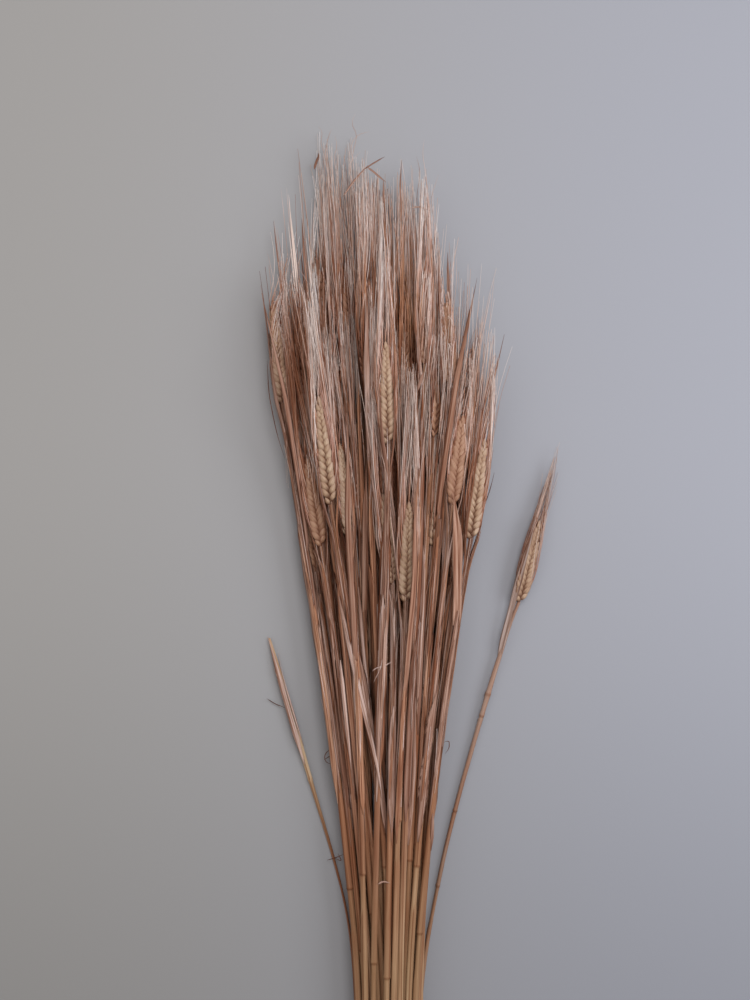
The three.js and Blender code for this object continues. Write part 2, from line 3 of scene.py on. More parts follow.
import bpy
import numpy as np
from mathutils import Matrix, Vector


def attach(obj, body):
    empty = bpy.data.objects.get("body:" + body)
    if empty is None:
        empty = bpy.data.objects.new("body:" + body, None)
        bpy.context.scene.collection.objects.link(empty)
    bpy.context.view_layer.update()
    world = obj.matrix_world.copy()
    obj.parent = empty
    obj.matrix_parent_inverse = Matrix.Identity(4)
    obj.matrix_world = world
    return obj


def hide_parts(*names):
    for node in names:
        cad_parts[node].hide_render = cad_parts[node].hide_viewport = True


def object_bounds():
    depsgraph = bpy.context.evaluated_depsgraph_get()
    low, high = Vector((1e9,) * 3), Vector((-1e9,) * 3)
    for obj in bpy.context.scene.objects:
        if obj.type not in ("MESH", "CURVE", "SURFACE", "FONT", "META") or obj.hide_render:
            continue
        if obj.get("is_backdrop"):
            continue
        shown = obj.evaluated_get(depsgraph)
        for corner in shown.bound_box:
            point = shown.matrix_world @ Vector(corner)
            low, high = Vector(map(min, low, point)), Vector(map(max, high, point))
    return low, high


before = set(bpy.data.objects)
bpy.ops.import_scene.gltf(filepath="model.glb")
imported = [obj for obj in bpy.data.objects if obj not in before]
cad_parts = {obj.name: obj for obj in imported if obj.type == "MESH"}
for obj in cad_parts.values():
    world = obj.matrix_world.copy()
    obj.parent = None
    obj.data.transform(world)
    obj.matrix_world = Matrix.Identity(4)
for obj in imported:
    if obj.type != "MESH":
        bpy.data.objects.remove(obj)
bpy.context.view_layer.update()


# The viewpoint.
# The photo looks square on to the bundle, so the camera hangs above the middle of the part that
# the photo shows and looks straight down, with the beards at the top of the picture.
camera = bpy.data.objects.new("camera", bpy.data.cameras.new("camera"))
bpy.context.scene.collection.objects.link(camera)
camera.data.sensor_width = 36
camera.data.lens = 70
camera.location = (-0.0260, 0.0829, 1.422)
camera.rotation_euler = (0, 0, 0)
camera.data.clip_start, camera.data.clip_end = 0.05, 20
camera.data.dof.use_dof = False
bpy.context.scene.camera = camera
bpy.context.scene.view_settings.view_transform = "Standard"


# The lines of the stalks.
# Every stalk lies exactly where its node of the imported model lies: the middle line of its stem, its
# knots, its ear and the ends of its awns are read back from that node's own corners.
def corners_of(node):
    """The distinct corners of a node and its triangles, as numbers of those corners."""
    mesh = node.data
    mesh.calc_loop_triangles()
    flat = np.empty(3 * len(mesh.vertices), dtype=np.float32)
    mesh.vertices.foreach_get("co", flat)
    tri = np.empty(3 * len(mesh.loop_triangles), dtype=np.int32)
    mesh.loop_triangles.foreach_get("vertices", tri)
    flat = flat.reshape(-1, 3).astype(float)
    _, first, same = np.unique(np.round(flat, 5), axis=0, return_index=True, return_inverse=True)
    return flat[first], same.reshape(-1)[tri].reshape(-1, 3)


def circle_through(points):
    """Least squares circle through the corners of one level: its centre, its radius, and how far
    the worst corner lies off it."""
    middle = points.mean(axis=0)
    x, z = points[:, 0] - middle[0], points[:, 2] - middle[2]
    terms = np.column_stack([2 * x, 2 * z, np.ones_like(x)])
    a, b, c = np.linalg.lstsq(terms, x * x + z * z, rcond=None)[0]
    radius = math.sqrt(max(c + a * a + b * b, 0))
    off = np.abs(np.hypot(x - a, z - b) - radius).max()
    return np.array([middle[0] + a, points[0, 1], middle[2] + b]), radius, off


# In the model an awn is over 8 mm long, and the plain point of a husk is 1.35 mm long
least_awn, husk_point = 0.008, 0.00135


def spikes_of(points, faces):
    """Each sharp point of an ear: a corner where three triangles meet over a small ring of three
    corners. Gives the middle of the ring and the point itself."""
    meets = np.bincount(faces.ravel(), minlength=len(points))
    widest_ring, near = 0.0006, 0.0003
    starts, tips = [], []
    for tip in np.flatnonzero(meets == 3):
        ring = np.setdiff1d(faces[(faces == tip).any(axis=1)].ravel(), tip)
        middle = points[ring].mean(axis=0)
        size = np.linalg.norm(points[ring] - middle, axis=1).max()
        length = np.linalg.norm(points[tip] - middle)
        if len(ring) == 3 and size < widest_ring and (length > least_awn or abs(length - husk_point) < near):
            starts.append(middle)
            tips.append(points[tip])
    return np.array(starts), np.array(tips)


# A full-size ear of the model starts 4 mm above the foot and is 75 mm long, and the point at its
# top starts 76.1 mm above the same level. A leaf is 0.8 mm thick, and 1 mm wide at its tip
neck, full_ear, top_point = 0.004, 0.075, 0.0761
half_leaf_thick, half_leaf_tip = 0.0004, 0.0005
thinnest_stem, thickest_stem, close = 0.0009, 0.003, 2e-5
stalks = []
for name in sorted(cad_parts):
    points, faces = corners_of(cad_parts[name])
    order = np.argsort(points[:, 1], kind="stable")
    levels = np.split(order, np.flatnonzero(np.diff(points[order, 1]) > 3e-6) + 1)
    centres, radii, blade = [], [], []
    for level in levels:
        if len(level) < 4:
            continue
        centre, radius, off = circle_through(points[level])
        if off < close and thinnest_stem < radius < thickest_stem:
            centres.append(centre)
            radii.append(radius)
        elif len(level) == 4:
            middle = points[level].mean(axis=0)
            arms = points[level] - middle
            reach = np.linalg.norm(arms, axis=1)
            if abs(reach.min() - half_leaf_thick) < close or abs(reach.max() - half_leaf_tip) < close:
                blade.append((middle, arms[reach.argmax()]))
    stalk = {"name": name, "centres": np.array(centres), "radii": np.array(radii), "blade": blade}
    stalk["draw"] = np.random.default_rng(1000 + len(stalks))
    # The first 14 stalks are the front ones, whose ears show, and the 14th leaves the bundle
    stalk["shown"] = name != "broken_stalk" and int(name[-2:]) < 15
    stalk["stray"] = name == "stalk_14"
    if name != "broken_stalk":
        starts, tips = spikes_of(points, faces)
        foot, upper = stalk["centres"][-2:]
        along = (upper - foot) / np.linalg.norm(upper - foot)
        height = (starts - foot) @ along
        aside = starts - foot - height[:, None] * along
        off_axis = np.linalg.norm(aside, axis=1)
        scale = (height[off_axis.argmin()] - neck) / top_point
        wide = np.linalg.svd(aside[off_axis > 0.003])[2][0]
        across = wide - (wide @ along) * along
        across /= np.linalg.norm(across)
        grown = np.linalg.norm(tips - starts, axis=1) > least_awn
        stalk.update(foot=foot, along=along, across=across, out=np.cross(across, along))
        stalk.update(ear=neck + full_ear * scale, awn_starts=starts[grown], awn_tips=tips[grown])
        beyond = (tips[grown] - foot) @ along - stalk["ear"]
        stalk["reach"] = beyond.max() if len(beyond) > 2 else 0.088
    stalks.append(stalk)


# The grain that every dry part of the plant shares: fine streaks that run along it, longer blotches
# where the dye took unevenly, and the ribs of the dry skin as a bump.
def feed(tree, node, sockets):
    """Sets inputs of a node, each to a constant or by a link from an output, and gives its outputs."""
    for label, value in sockets.items():
        if isinstance(value, bpy.types.NodeSocket):
            tree.links.new(value, node.inputs[label])
        else:
            node.inputs[label].default_value = value
    return node.outputs


def added(tree, kind, sockets, **settings):
    """Adds a node with its settings and then its inputs, and gives its outputs."""
    node = tree.nodes.new(kind)
    for label, value in settings.items():
        setattr(node, label, value)
    return feed(tree, node, sockets)


def scaled(tree, value, low, high, label="To"):
    """A value mapped From low and high to 0 and 1, or from 0 and 1 To low and high."""
    return added(tree, "ShaderNodeMapRange", {"Value": value, label + " Min": low, label + " Max": high})[0]


def blend(tree, factor, a, b, how="MIX"):
    """Two colours mixed, or multiplied, by a factor."""
    sockets = {"Factor": factor, "A": a, "B": b}
    return added(tree, "ShaderNodeMix", sockets, data_type="RGBA", blend_type=how)["Result"]


def node_group(name, takes, gives):
    """A shader node group with its sockets, each given as a name and a kind."""
    group = bpy.data.node_groups.new(name, "ShaderNodeTree")
    for way, sockets in (("INPUT", takes), ("OUTPUT", gives)):
        for label, kind in sockets.items():
            group.interface.new_socket(label, in_out=way, socket_type=kind)
    return group


grain = node_group(
    "dry_grain",
    {"Fineness": "NodeSocketFloat", "Depth": "NodeSocketFloat"},
    {"Streaks": "NodeSocketFloat", "Blotches": "NodeSocketFloat", "Normal": "NodeSocketVector"},
)
entry = grain.nodes.new("NodeGroupInput").outputs
place = added(grain, "ShaderNodeAttribute", {}, attribute_name="grain")["Vector"]
narrow, broad = (
    added(grain, "ShaderNodeVectorMath", {0: place, 1: factors}, operation="MULTIPLY")[0]
    for factors in ((1, 1, 0.02), (160, 160, 16))
)
streaks = added(grain, "ShaderNodeTexNoise", {
    "Vector": narrow, "Scale": entry["Fineness"], "Detail": 4, "Roughness": 0.65})["Fac"]
blotches = added(grain, "ShaderNodeTexNoise", {"Vector": broad, "Scale": 1, "Detail": 2})["Fac"]
added(grain, "NodeGroupOutput", {
    "Streaks": scaled(grain, streaks, 0.36, 0.64, "From"),
    "Blotches": scaled(grain, blotches, 0.32, 0.68, "From"),
    "Normal": added(grain, "ShaderNodeBump", {
        "Distance": 0.0002, "Strength": entry["Depth"], "Height": streaks})["Normal"],
})

# Where the dye lies thick, and where a point's painted shade darkens it as if in its neighbours' shadow, blue
# and green fade before red
dye_and_shade_depth = node_group(
    "dye_and_shade_depth",
    {"Dye": "NodeSocketColor", "Shade": "NodeSocketFloat", "Streak": "NodeSocketFloat"},
    {"Color": "NodeSocketColor"},
)
entry = dye_and_shade_depth.nodes.new("NodeGroupInput").outputs
both = added(dye_and_shade_depth, "ShaderNodeMath", {0: entry["Shade"], 1: entry["Streak"]}, operation="MULTIPLY")[0]
veil = added(dye_and_shade_depth, "ShaderNodeCombineColor", {
    channel: added(dye_and_shade_depth, "ShaderNodeMath", {0: both, 1: power}, operation="POWER")[0]
    for channel, power in (("Red", 1.0), ("Green", 1.45), ("Blue", 1.75))})["Color"]
added(dye_and_shade_depth, "NodeGroupOutput", {"Color": blend(dye_and_shade_depth, 1, entry["Dye"], veil, "MULTIPLY")})


# Stems, in their dry leaf sheaths.
# A stem is a hollow straw with swollen knots. Each sheath grows from a knot, wraps the straw once
# with one free edge, and ends ragged where its leaf broke off, so that the bare straw shows above it.
def ring_points(centre, across, up, radius, angle):
    """Points round a line: centre + radius * (across * cos(angle) + up * sin(angle))."""
    return (
        centre[..., None, :]
        + across[..., None, :] * (radius * np.cos(angle))[..., None]
        + up[..., None, :] * (radius * np.sin(angle))[..., None]
    )


def unit(vectors):
    """Vectors divided by their own lengths."""
    return vectors / np.linalg.norm(vectors, axis=-1, keepdims=True)


def strand_object(name, rings, grain_at, look, material):
    """Closed strands as one object. rings[strand, ring, corner] are points. Four-sided faces join
    each ring to the next, and a fan to a middle point closes each end. A strand whose corners run
    clockwise about its line, by the sum of (spoke x next spoke) . step, has them reversed, so that
    every face looks outward. grain_at and look are kept on the corners as attributes."""
    n, m, k, _ = rings.shape
    hub = rings.mean(axis=2)
    spoke = rings - hub[:, :, None]
    sweep = np.cross(spoke, np.roll(spoke, -1, axis=2)).sum(axis=2)
    inward = (sweep * np.gradient(hub, axis=1)).sum(axis=(1, 2))[:, None, None, None] < 0
    values = (np.broadcast_to(v, rings.shape) for v in (rings, grain_at, look))
    rings, grain_at, look = (np.where(inward, v[:, :, ::-1], v) for v in values)
    grid = np.arange(n * m * k).reshape(n, m, k)
    turn = np.roll(grid, -1, axis=2)
    quads = np.stack([grid[:, :-1], turn[:, :-1], turn[:, 1:], grid[:, 1:]], axis=-1).reshape(-1, 4)
    first = n * m * k + np.arange(n)[:, None] + np.zeros((1, k), dtype=int)
    low = np.stack([turn[:, 0], grid[:, 0], first], axis=-1).reshape(-1, 3)
    high = np.stack([grid[:, -1], turn[:, -1], first + n], axis=-1).reshape(-1, 3)
    ends = np.concatenate([rings[:, 0].mean(axis=1), rings[:, -1].mean(axis=1)])
    mesh = bpy.data.meshes.new(name)
    points = np.concatenate([rings.reshape(-1, 3), ends])
    mesh.from_pydata(points.tolist(), [], quads.tolist() + low.tolist() + high.tolist())
    for label, values in (("grain", grain_at), ("look", look)):
        flat = np.concatenate([values.reshape(-1, 3), values[:, 0, 0], values[:, -1, 0]])
        layer = mesh.attributes.new(label, "FLOAT_VECTOR", "POINT")
        layer.data.foreach_set("vector", flat.astype(np.float32).ravel())
    mesh.shade_smooth()
    made = bpy.data.objects.new(name, mesh)
    bpy.context.scene.collection.objects.link(made)
    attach(made, "root")
    mesh.materials.append(material)
    return made


def vector(*parts):
    """Joins three arrays, or numbers, into vectors."""
    return np.stack(np.broadcast_arrays(*parts), axis=-1)


def hollow_ring(tube, at, inset, narrow):
    """A narrower ring inside a cut end of a tube, inset along the tube from its ring number at."""
    centre, tangent, side, up, around, angle = (v[[at]] for v in tube)
    return ring_points(centre + tangent * inset, side, up, around * narrow, angle)


def plant_material(name, fineness, depth, streaks, roughness, gloss, dye_of):
    """A material of dry plant. dye_of(tree, skin, look) gives its colour from the grain and from the
    x, y and z of each point's look. The z, each point's tone with any painted shade, and, between two
    values, the streaks darken that colour."""
    material = bpy.data.materials.new(name)
    material.use_nodes = True
    tree = material.node_tree
    skin = added(tree, "ShaderNodeGroup", {"Fineness": fineness, "Depth": depth}, node_tree=grain)
    at_point = added(tree, "ShaderNodeAttribute", {}, attribute_name="look")["Vector"]
    look = added(tree, "ShaderNodeSeparateXYZ", {0: at_point})
    color = added(tree, "ShaderNodeGroup", {
        "Dye": dye_of(tree, skin, look), "Shade": look["Z"],
        "Streak": scaled(tree, skin["Streaks"], *streaks) if streaks else 1,
    }, node_tree=dye_and_shade_depth)["Color"]
    feed(tree, tree.nodes["Principled BSDF"], {
        "Base Color": color, "Normal": skin["Normal"], "Roughness": roughness, "Specular IOR Level": gloss})
    return material


def red_to_mauve(tree, amount, red, rosy):
    """The dye by its amount: from red at 0 to rosy at 1, and on to a faded mauve at 2."""
    faded = scaled(tree, amount, 1, 2, "From")
    return blend(tree, faded, blend(tree, amount, red, rosy), (0.43, 0.335, 0.305, 1))


def straw_dye(tree, skin, look):
    """The dye, with dark red blotches, and golden where the straw took little of it."""
    dyed = red_to_mauve(tree, look["X"], (0.49, 0.243, 0.14, 1), (0.53, 0.325, 0.25, 1))
    patchy = blend(tree, skin["Blotches"], dyed, (0.38, 0.145, 0.07, 1))
    return blend(tree, look["Y"], patchy, (0.60, 0.46, 0.30, 1))


straw = plant_material("sheathed_straw", 560, 0.9, (0.72, 1.12), 0.7, 0.2, straw_dye)

# Corners once round a stem, from the free edge of the sheath, and the heights about a knot
turns = np.array([0, 0.07, 0.16, 0.25, 0.34, 0.43, 0.52, 0.61, 0.70, 0.79, 0.88, 0.965]) * 2 * math.pi
about_knot = np.array([-4, -2.6, -1.4, -0.5, 0.5, 1.4, 2.6, 4]) * 0.001
for s in stalks:
    draw, shown, centres, radii = s["draw"], s["shown"], s["centres"], s["radii"]
    broken, stray = "ear" not in s, s["stray"]
    heights = centres[:, 1]
    low, high = heights[0], heights[-1]
    swells = [
        i for i in range(1, len(radii) - 1)
        if radii[i] > 1.12 * radii[i - 1] and radii[i] > 1.08 * radii[i + 1]
    ]
    drops = [
        i for i in range(1, len(radii))
        if heights[i] - heights[i - 1] < 0.003 and radii[i - 1] - radii[i] > 0.0003
    ]
    collar = heights[drops[-1]] if drops and not broken else high
    knots = list(heights[swells])
    for y in low + np.cumsum(draw.uniform(0.10, 0.24, 8)):
        if y < collar - 0.05 and all(abs(y - other) > 0.09 for other in knots):
            knots.append(y)
    if broken:
        knots = [-0.1209]
    if stray:
        knots = [-0.1993, -0.1446, -0.0748, -0.0589]
    knots = np.array(sorted(knots))
    bulged = swells + [i - 1 for i in swells] + [drops[-1] - 1] if drops else swells
    plain = np.delete(np.arange(len(radii)), sorted(bulged))

    # Each sheath runs from its knot to near the next one, and the last one to the collar
    ends = np.concatenate([knots[1:], [collar]]) if len(knots) else np.array([collar])
    begins = knots if len(knots) else np.array([low])
    sheath_ends = begins + (ends - begins) * np.minimum(draw.uniform(0.62, 1.25, len(begins)), 1)
    sheath_ends[-1] = collar
    near = (knots[:, None] + about_knot).ravel()
    edges = (sheath_ends[:, None] + np.array([-0.6, 0.6]) * 0.001).ravel()
    y = np.unique(np.concatenate([np.arange(low + 0.003, high, 0.007), near, edges, [low, high]]))
    y = y[(y >= low) & (y <= high)]
    y = y[np.concatenate([[True], np.diff(y) > 0.0003])]
    reach = np.minimum(0.03, np.minimum(y - low, high - y))
    soft, rise = (
        np.mean([np.interp(y + by * reach, heights, centres[:, i]) for by in (-1, -0.5, 0, 0.5, 1)], axis=0)
        for i in (0, 2)
    )
    slim = np.interp(y, [-0.2, -0.05, 0.05], [1.14, 1.06, 0.95])
    if stray:
        slim = np.interp(y, [-0.16, -0.09, -0.035, -0.02], [0.8, 0.95, 1.2, 1.0])
    radius = slim * np.interp(y, heights[plain], radii[plain])
    if broken:
        radius = np.interp(
            y,
            [-0.35, -0.235, -0.20, -0.15, -0.126, -0.1209, -0.112, -0.09, -0.072, -0.05, -0.03, -0.0185],
            [0.0016, 0.0008, 0.0008, 0.0012, 0.0015, 0.0017, 0.0018, 0.0023, 0.0023, 0.0020, 0.0015, 0.0007],
        )
    section = np.searchsorted(begins, y, side="right") - 1
    covered = np.where(section < 0, y < begins[0] - 0.03, y <= sheath_ends[np.maximum(section, 0)])
    sheathed = covered.astype(float)
    if not broken:
        sheathed[y > collar] = 0
    bare = np.where((y > collar) | broken, 1, 0.84)
    radius = radius * np.where(sheathed > 0, 1, bare)
    knot = np.zeros_like(y)
    if len(knots):
        knot = np.exp(-(((y[:, None] - knots) / 0.0017) ** 2)).sum(axis=1)
    radius = radius * (1 + 0.13 * knot)
    centre = vector(soft, y, np.maximum(rise, radius + 0.00008))
    s["line"], s["girth"], s["collar"] = centre, radius, collar

    start = draw.uniform(0, 6.28) + y * draw.uniform(-9, 9)
    angle = start[:, None] + turns
    wrap = 1 + 0.15 * sheathed[:, None] * (turns / 6.28 - 0.5)
    flare = 1 + 0.16 * np.exp(-np.abs(y[:, None] - sheath_ends[None, :]).min(axis=1) / 0.002) * sheathed
    around = radius[:, None] * wrap * flare[:, None]
    tangent = unit(np.gradient(centre, axis=0))
    up = unit(np.array([0.0, 0, 1]) - tangent * tangent[:, 2:])
    tube = centre, tangent, np.cross(up, tangent), up, around, -angle
    rings = [hollow_ring(tube, 0, 0.009, 0.6), hollow_ring(tube, 0, 0.0004, 0.72)]
    rings.append(ring_points(centre, *tube[2:]))
    if broken:
        rings += [hollow_ring(tube, -1, -0.0004, 0.75), hollow_ring(tube, -1, -0.012, 0.6)]
    rings = np.concatenate(rings)
    rings[..., 2] = np.maximum(rings[..., 2], 0.00005)
    pad = 2, len(rings) - len(y) - 2
    full_y, full_sheath, full_knot = (np.pad(v, pad, mode="edge") for v in (y, sheathed, knot))
    spot = np.concatenate([angle[:2], angle])
    if broken:
        spot = np.broadcast_to(angle[:1], (len(rings), len(turns)))
    at = vector(0.002 * np.cos(spot) + draw.uniform(0, 9), 0.002 * np.sin(spot), full_y[:, None])

    dye = draw.uniform(0, 0.6) if not shown else draw.choice(
        [draw.uniform(0, 0.35), draw.uniform(0.6, 1), draw.uniform(0.7, 1)])
    tone = draw.uniform(0.84, 1.14)
    gold = np.interp(full_y, [-0.255, -0.22, -0.17, -0.08], [0.8, 0.5, 0.25, 0]) * draw.uniform(0.7, 1.3)
    gold = gold + (1 - full_sheath) * 0.25 + draw.uniform(0, 0.1)
    dark = tone * (1 - 0.38 * np.minimum(full_knot, 1) ** 4)
    # Darker towards the base, and the hidden stems get painted shade for lying deeper in the heap
    dark = dark * np.interp(full_y, [-0.26, -0.17, -0.08], [0.64, 0.68, 0.9 if shown else 0.82])
    # Painted shade inside the hollow cut end of the straw
    dark[:2] *= 0.45
    if stray:
        dye, dark, gold = 1.9, dark * 0.95 / tone, gold * 0.4 + 0.1
    if broken:
        dye = 1.0
        dark = np.interp(
            full_y, [-0.22, -0.17, -0.124, -0.118, -0.08, -0.02], [0.5, 0.55, 0.7, 1.0, 1.04, 1.0])
        gold = np.interp(full_y, [-0.2, -0.15, -0.07, -0.045], [0.2, 0.7, 1.0, 0.6])
    # Painted shade along each sheath's free edge: its first corner, at the step, is darker
    edge = np.where(turns == 0, 0.55, 1) ** full_sheath[:, None]
    look_at = vector(dye, np.clip(gold, 0, 1)[:, None], dark[:, None] * edge)
    stem = strand_object(s["name"] + "_stem", rings[None], at[None], look_at[None], straw)
    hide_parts(s["name"])


# Ears: two columns of plump husks.
# Each spikelet has a front and a back floret and a keeled outer husk, rooted on the flat stem inside
# the ear and leaning out from it. They overlap in a braid, and the ear is narrower at both ends.
def husk_dye(tree, skin, look):
    """Dark at a husk's root, painted shade where it tucks under the husk below; pale in its middle and a
    little duller at its point, pinker by its dye.
    """
    ramp = tree.nodes.new("ShaderNodeValToRGB")
    stops = ramp.color_ramp.elements
    stops.new(0.5)
    # The first colour, at the root, is painted shade
    colours = (0.17, 0.085, 0.05, 1), (0.51, 0.368, 0.256, 1), (0.48, 0.34, 0.258, 1)
    for stop, spot, colour in zip(stops, (0.2, 0.5, 0.9), colours):
        stop.position, stop.color = spot, colour
    along_husk = feed(tree, ramp, {"Fac": look["Y"]})["Color"]
    return blend(tree, look["X"], along_husk, (0.48, 0.255, 0.17, 1))


husk_skin = plant_material("pale_husk", 2600, 0.4, (0.8, 1.1), 0.5, 0.35, husk_dye)

for s in stalks:
    if "ear" not in s:
        continue
    draw, shown = s["draw"], s["shown"]
    along, across, out = s["along"], s["across"], s["out"]
    tiers = 30 if shown else 24
    pitch = (s["ear"] - 0.0125) / (tiers - 1)
    tier = np.arange(tiers)
    side = np.where(tier % 2, 1.0, -1.0)
    height = 0.0038 + tier * pitch
    size = np.interp(tier / (tiers - 1), [0, 0.07, 0.2, 0.65, 1], [0.66, 0.9, 1, 0.93, 0.7])
    lean = np.interp(tier / (tiers - 1), [0, 0.15, 0.5, 1], [0.90, 0.84, 0.62, 0.42])
    # The husks of each spikelet: front, back and, on the ears that show, outer; then the three at the top
    kinds = np.array([1.0, -1.0, 0.0] if shown else [1.0, -1.0])
    face = np.concatenate([np.tile(kinds, tiers), [1, -1, 0]])
    tier3 = np.concatenate([np.repeat(tier, len(kinds)), [tiers - 1] * 3])
    side3 = np.concatenate([np.repeat(side, len(kinds)), [0.3, -0.4, 0.1]])
    height3 = height[tier3] + np.where(np.arange(len(face)) < len(face) - 3, 0, 1.2 * pitch)
    size3 = size[tier3]
    outer = face == 0
    n = len(face)
    length = np.where(outer, 0.0100, 0.0112) * size3 * draw.uniform(0.93, 1.07, n)
    lean3 = np.where(outer, 0.8, 1.0) * lean[tier3] * side3 + draw.normal(0, 0.03, n)
    tilt = np.where(outer, 0, 0.19) * face + draw.normal(0, 0.02, n)
    way = unit(along + lean3[:, None] * across + tilt[:, None] * out)
    turn = np.where(outer, side3 * 1.45, np.where(face > 0, 0.28, math.pi - 0.28) * np.sign(side3))
    facing = np.cos(turn)[:, None] * out + np.sin(turn)[:, None] * across
    facing = unit(facing - (facing * way).sum(axis=1, keepdims=True) * way)
    flank = np.cross(facing, way)
    root = (
        s["foot"]
        + height3[:, None] * along
        + (np.where(outer, 0.0014, -0.0004) * side3)[:, None] * across
        + (0.0013 * face * size3)[:, None] * out
    )
    t = np.array([0.01, 0.12, 0.30, 0.50, 0.68, 0.84, 0.95, 1.0])
    full = np.array([0.30, 0.68, 0.95, 1.0, 0.88, 0.60, 0.30, 0.12])
    if not shown:
        t, full = t[[0, 1, 3, 5, 7]], full[[0, 1, 3, 5, 7]]
    corners = 8 if shown else 6
    u = np.arange(corners) / corners * 2 * math.pi
    bulge = np.where(np.sin(u) > 0.01, np.abs(np.sin(u)) ** 0.6, 0.4 * np.sin(u))
    width = (np.where(outer, 0.0021, 0.0028) * size3)[:, None, None] * full[:, None] * np.cos(u)
    thick = (np.where(outer, 0.0015, 0.0018) * size3)[:, None, None] * full[:, None] * bulge
    curl = (0.0007 * size3)[:, None, None] * (t**2)[:, None]
    bent = (0.0012 * size3 * np.sign(side3) * np.where(outer, 0.6, 1))[:, None, None] * (t**2)[:, None]
    spine = root[:, None, None] + (length[:, None] * t)[:, :, None, None] * way[:, None, None]
    rings = (
        spine
        - width[..., None] * flank[:, None, None]
        + (thick - curl)[..., None] * facing[:, None, None]
        - bent[..., None] * across
        + np.abs(bent)[..., None] * 0.5 * along
    )
    rings[..., 2] = np.maximum(rings[..., 2], 0.0001)
    # Four ears are browner and darker than the rest, and two others a little
    browner = s["name"] in ("stalk_06", "stalk_10", "stalk_11", "stalk_13")
    dimmer = 0.78 if browner else 0.88 if s["name"] in ("stalk_04", "stalk_14") else 1
    dye = draw.uniform(0.0, 0.2) + 0.35 * browner if shown else draw.uniform(0.55, 1.0)
    if s["name"] == "stalk_04":
        dye = 0.6
    at = vector(
        (0.002 * np.cos(u))[None, None] + draw.uniform(0, 9, n)[:, None, None],
        (0.002 * np.sin(u))[None, None],
        (length[:, None] * t)[:, :, None],
    )
    shade = draw.uniform(0.88, 1.1, n)[:, None, None] * draw.uniform(0.95, 1.05) * dimmer
    # Painted shade: darker at each husk's sides, in the seams between husks, and on hidden ears deep in the
    # heap
    shade = shade * (1 - 0.9 * np.cos(u) ** 6) * (1 if shown else 0.85)
    ear = strand_object(s["name"] + "_ear", rings, at, vector(dye, t[None, :, None], shade), husk_skin)
    s.update(husk_tips=rings[:, -1].mean(axis=1), husk_ways=way, husk_sides=side3, husk_faces=face)


# The top of the heap, as a height for each spot 1 mm across and 4 mm along, from the stems and the
# ears below it, and the spots where an ear shows, which nothing is laid over.
across_at = np.arange(241)[:, None] * 0.001 - 0.12
rows = np.arange(181) * 0.004 - 0.36
heap_top = np.zeros((241, 181))
kept_clear = np.zeros((241, 181), dtype=bool)
ear_half, clear_half = 0.0048, 0.0052


def heap_cell(x, y):
    """The column and row of the heap's map that lie nearest to x and y."""
    column = np.clip(np.round((x + 0.12) / 0.001).astype(int), 0, 240)
    return column, np.clip(np.round((y + 0.36) / 0.004).astype(int), 0, 180)


for s in stalks:
    line = s["line"]
    on = (rows >= line[0, 1]) & (rows <= line[-1, 1])
    x, z, r = (np.interp(rows, line[:, 1], v) for v in (line[:, 0], line[:, 2], s["girth"]))
    if "ear" in s:
        up = (rows - s["foot"][1]) / s["along"][1]
        beyond = (up > 0) & (up < s["ear"])
        x = np.where(beyond, s["foot"][0] + up * s["along"][0], x)
        z = np.where(beyond, s["foot"][2] + up * s["along"][2], z)
        r = np.where(beyond, ear_half, r)
        on |= beyond
        if s["shown"] and s["name"] not in ("stalk_06", "stalk_10", "stalk_13", "stalk_14"):
            clear = (up > -0.004) & (up < 0.86 * s["ear"])
            kept_clear |= (np.abs(across_at - x) < clear_half) & clear
    dome = z + np.sqrt(np.maximum(r**2 - (across_at - x) ** 2, 0)) * (np.abs(across_at - x) < r)
    heap_top = np.maximum(heap_top, np.where(on & (np.abs(across_at - x) < r), dome, 0))
for how in 2 * [np.max] + 4 * [np.mean]:
    for axis in (1, 0):
        heap_top = how([np.roll(heap_top, by, axis=axis) for by in (-1, 0, 1)], axis=0)


# Awns, the long stiff bristles that the husks are drawn out into.
# They run up along the ear and past its tip, nearly side by side, thin to a hair, and those of the
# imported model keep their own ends.
def awn_dye(tree, skin, look):
    """Red-brown to rosy by its dye, and paler where it is bleached."""
    dyed = blend(tree, look["X"], (0.59, 0.287, 0.16, 1), (0.59, 0.343, 0.282, 1))
    return blend(tree, look["Y"], dyed, (0.79, 0.665, 0.615, 1))


bristle = plant_material("dry_awn", 900, 0.1, None, 0.45, 0.4, awn_dye)

# The outline of the whole brush of awns: how far up it reaches at each x
crown_x = np.array([
    -120, -110, -104, -100, -97, -93, -88.6, -83, -80, -77, -74, -72.5, -70.8, -67, -61, -54, -47, -42,
    -35, -26, -17, -9.5, -1, 7, 13, 17, 20, 22, 24, 25.5, 27, 29.5, 30.5, 32.3, 33.5, 34.5, 36, 40, 44,
    47, 49.5, 52, 54, 56.4, 57.5, 59, 62, 64, 66, 68, 71]) * 0.001
crown_y = np.array([
    200, 215, 232, 248, 242, 234, 236, 240, 232, 218, 224, 245, 308, 335, 338, 330, 326, 331, 322, 314,
    306, 315, 311, 315, 306, 298, 268, 242, 218, 196, 174, 196, 240, 262, 245, 190, 158, 160, 178, 189,
    200, 210, 217, 226, 212, 190, 188, 184, 176, 165, 150]) * 0.001

# The sides that the brush keeps within: x of the left and the right side, each at its own heights
left_y, left_x = [0.1, 0.154, 0.219, 0.24, 0.30], [-0.098, -0.0965, -0.0975, -0.0955, -0.095]
right_y, right_x = [0.12, 0.18, 0.23, 0.262, 0.275, 0.31], [0.062, 0.066, 0.052, 0.031, 0.022, 0.016]

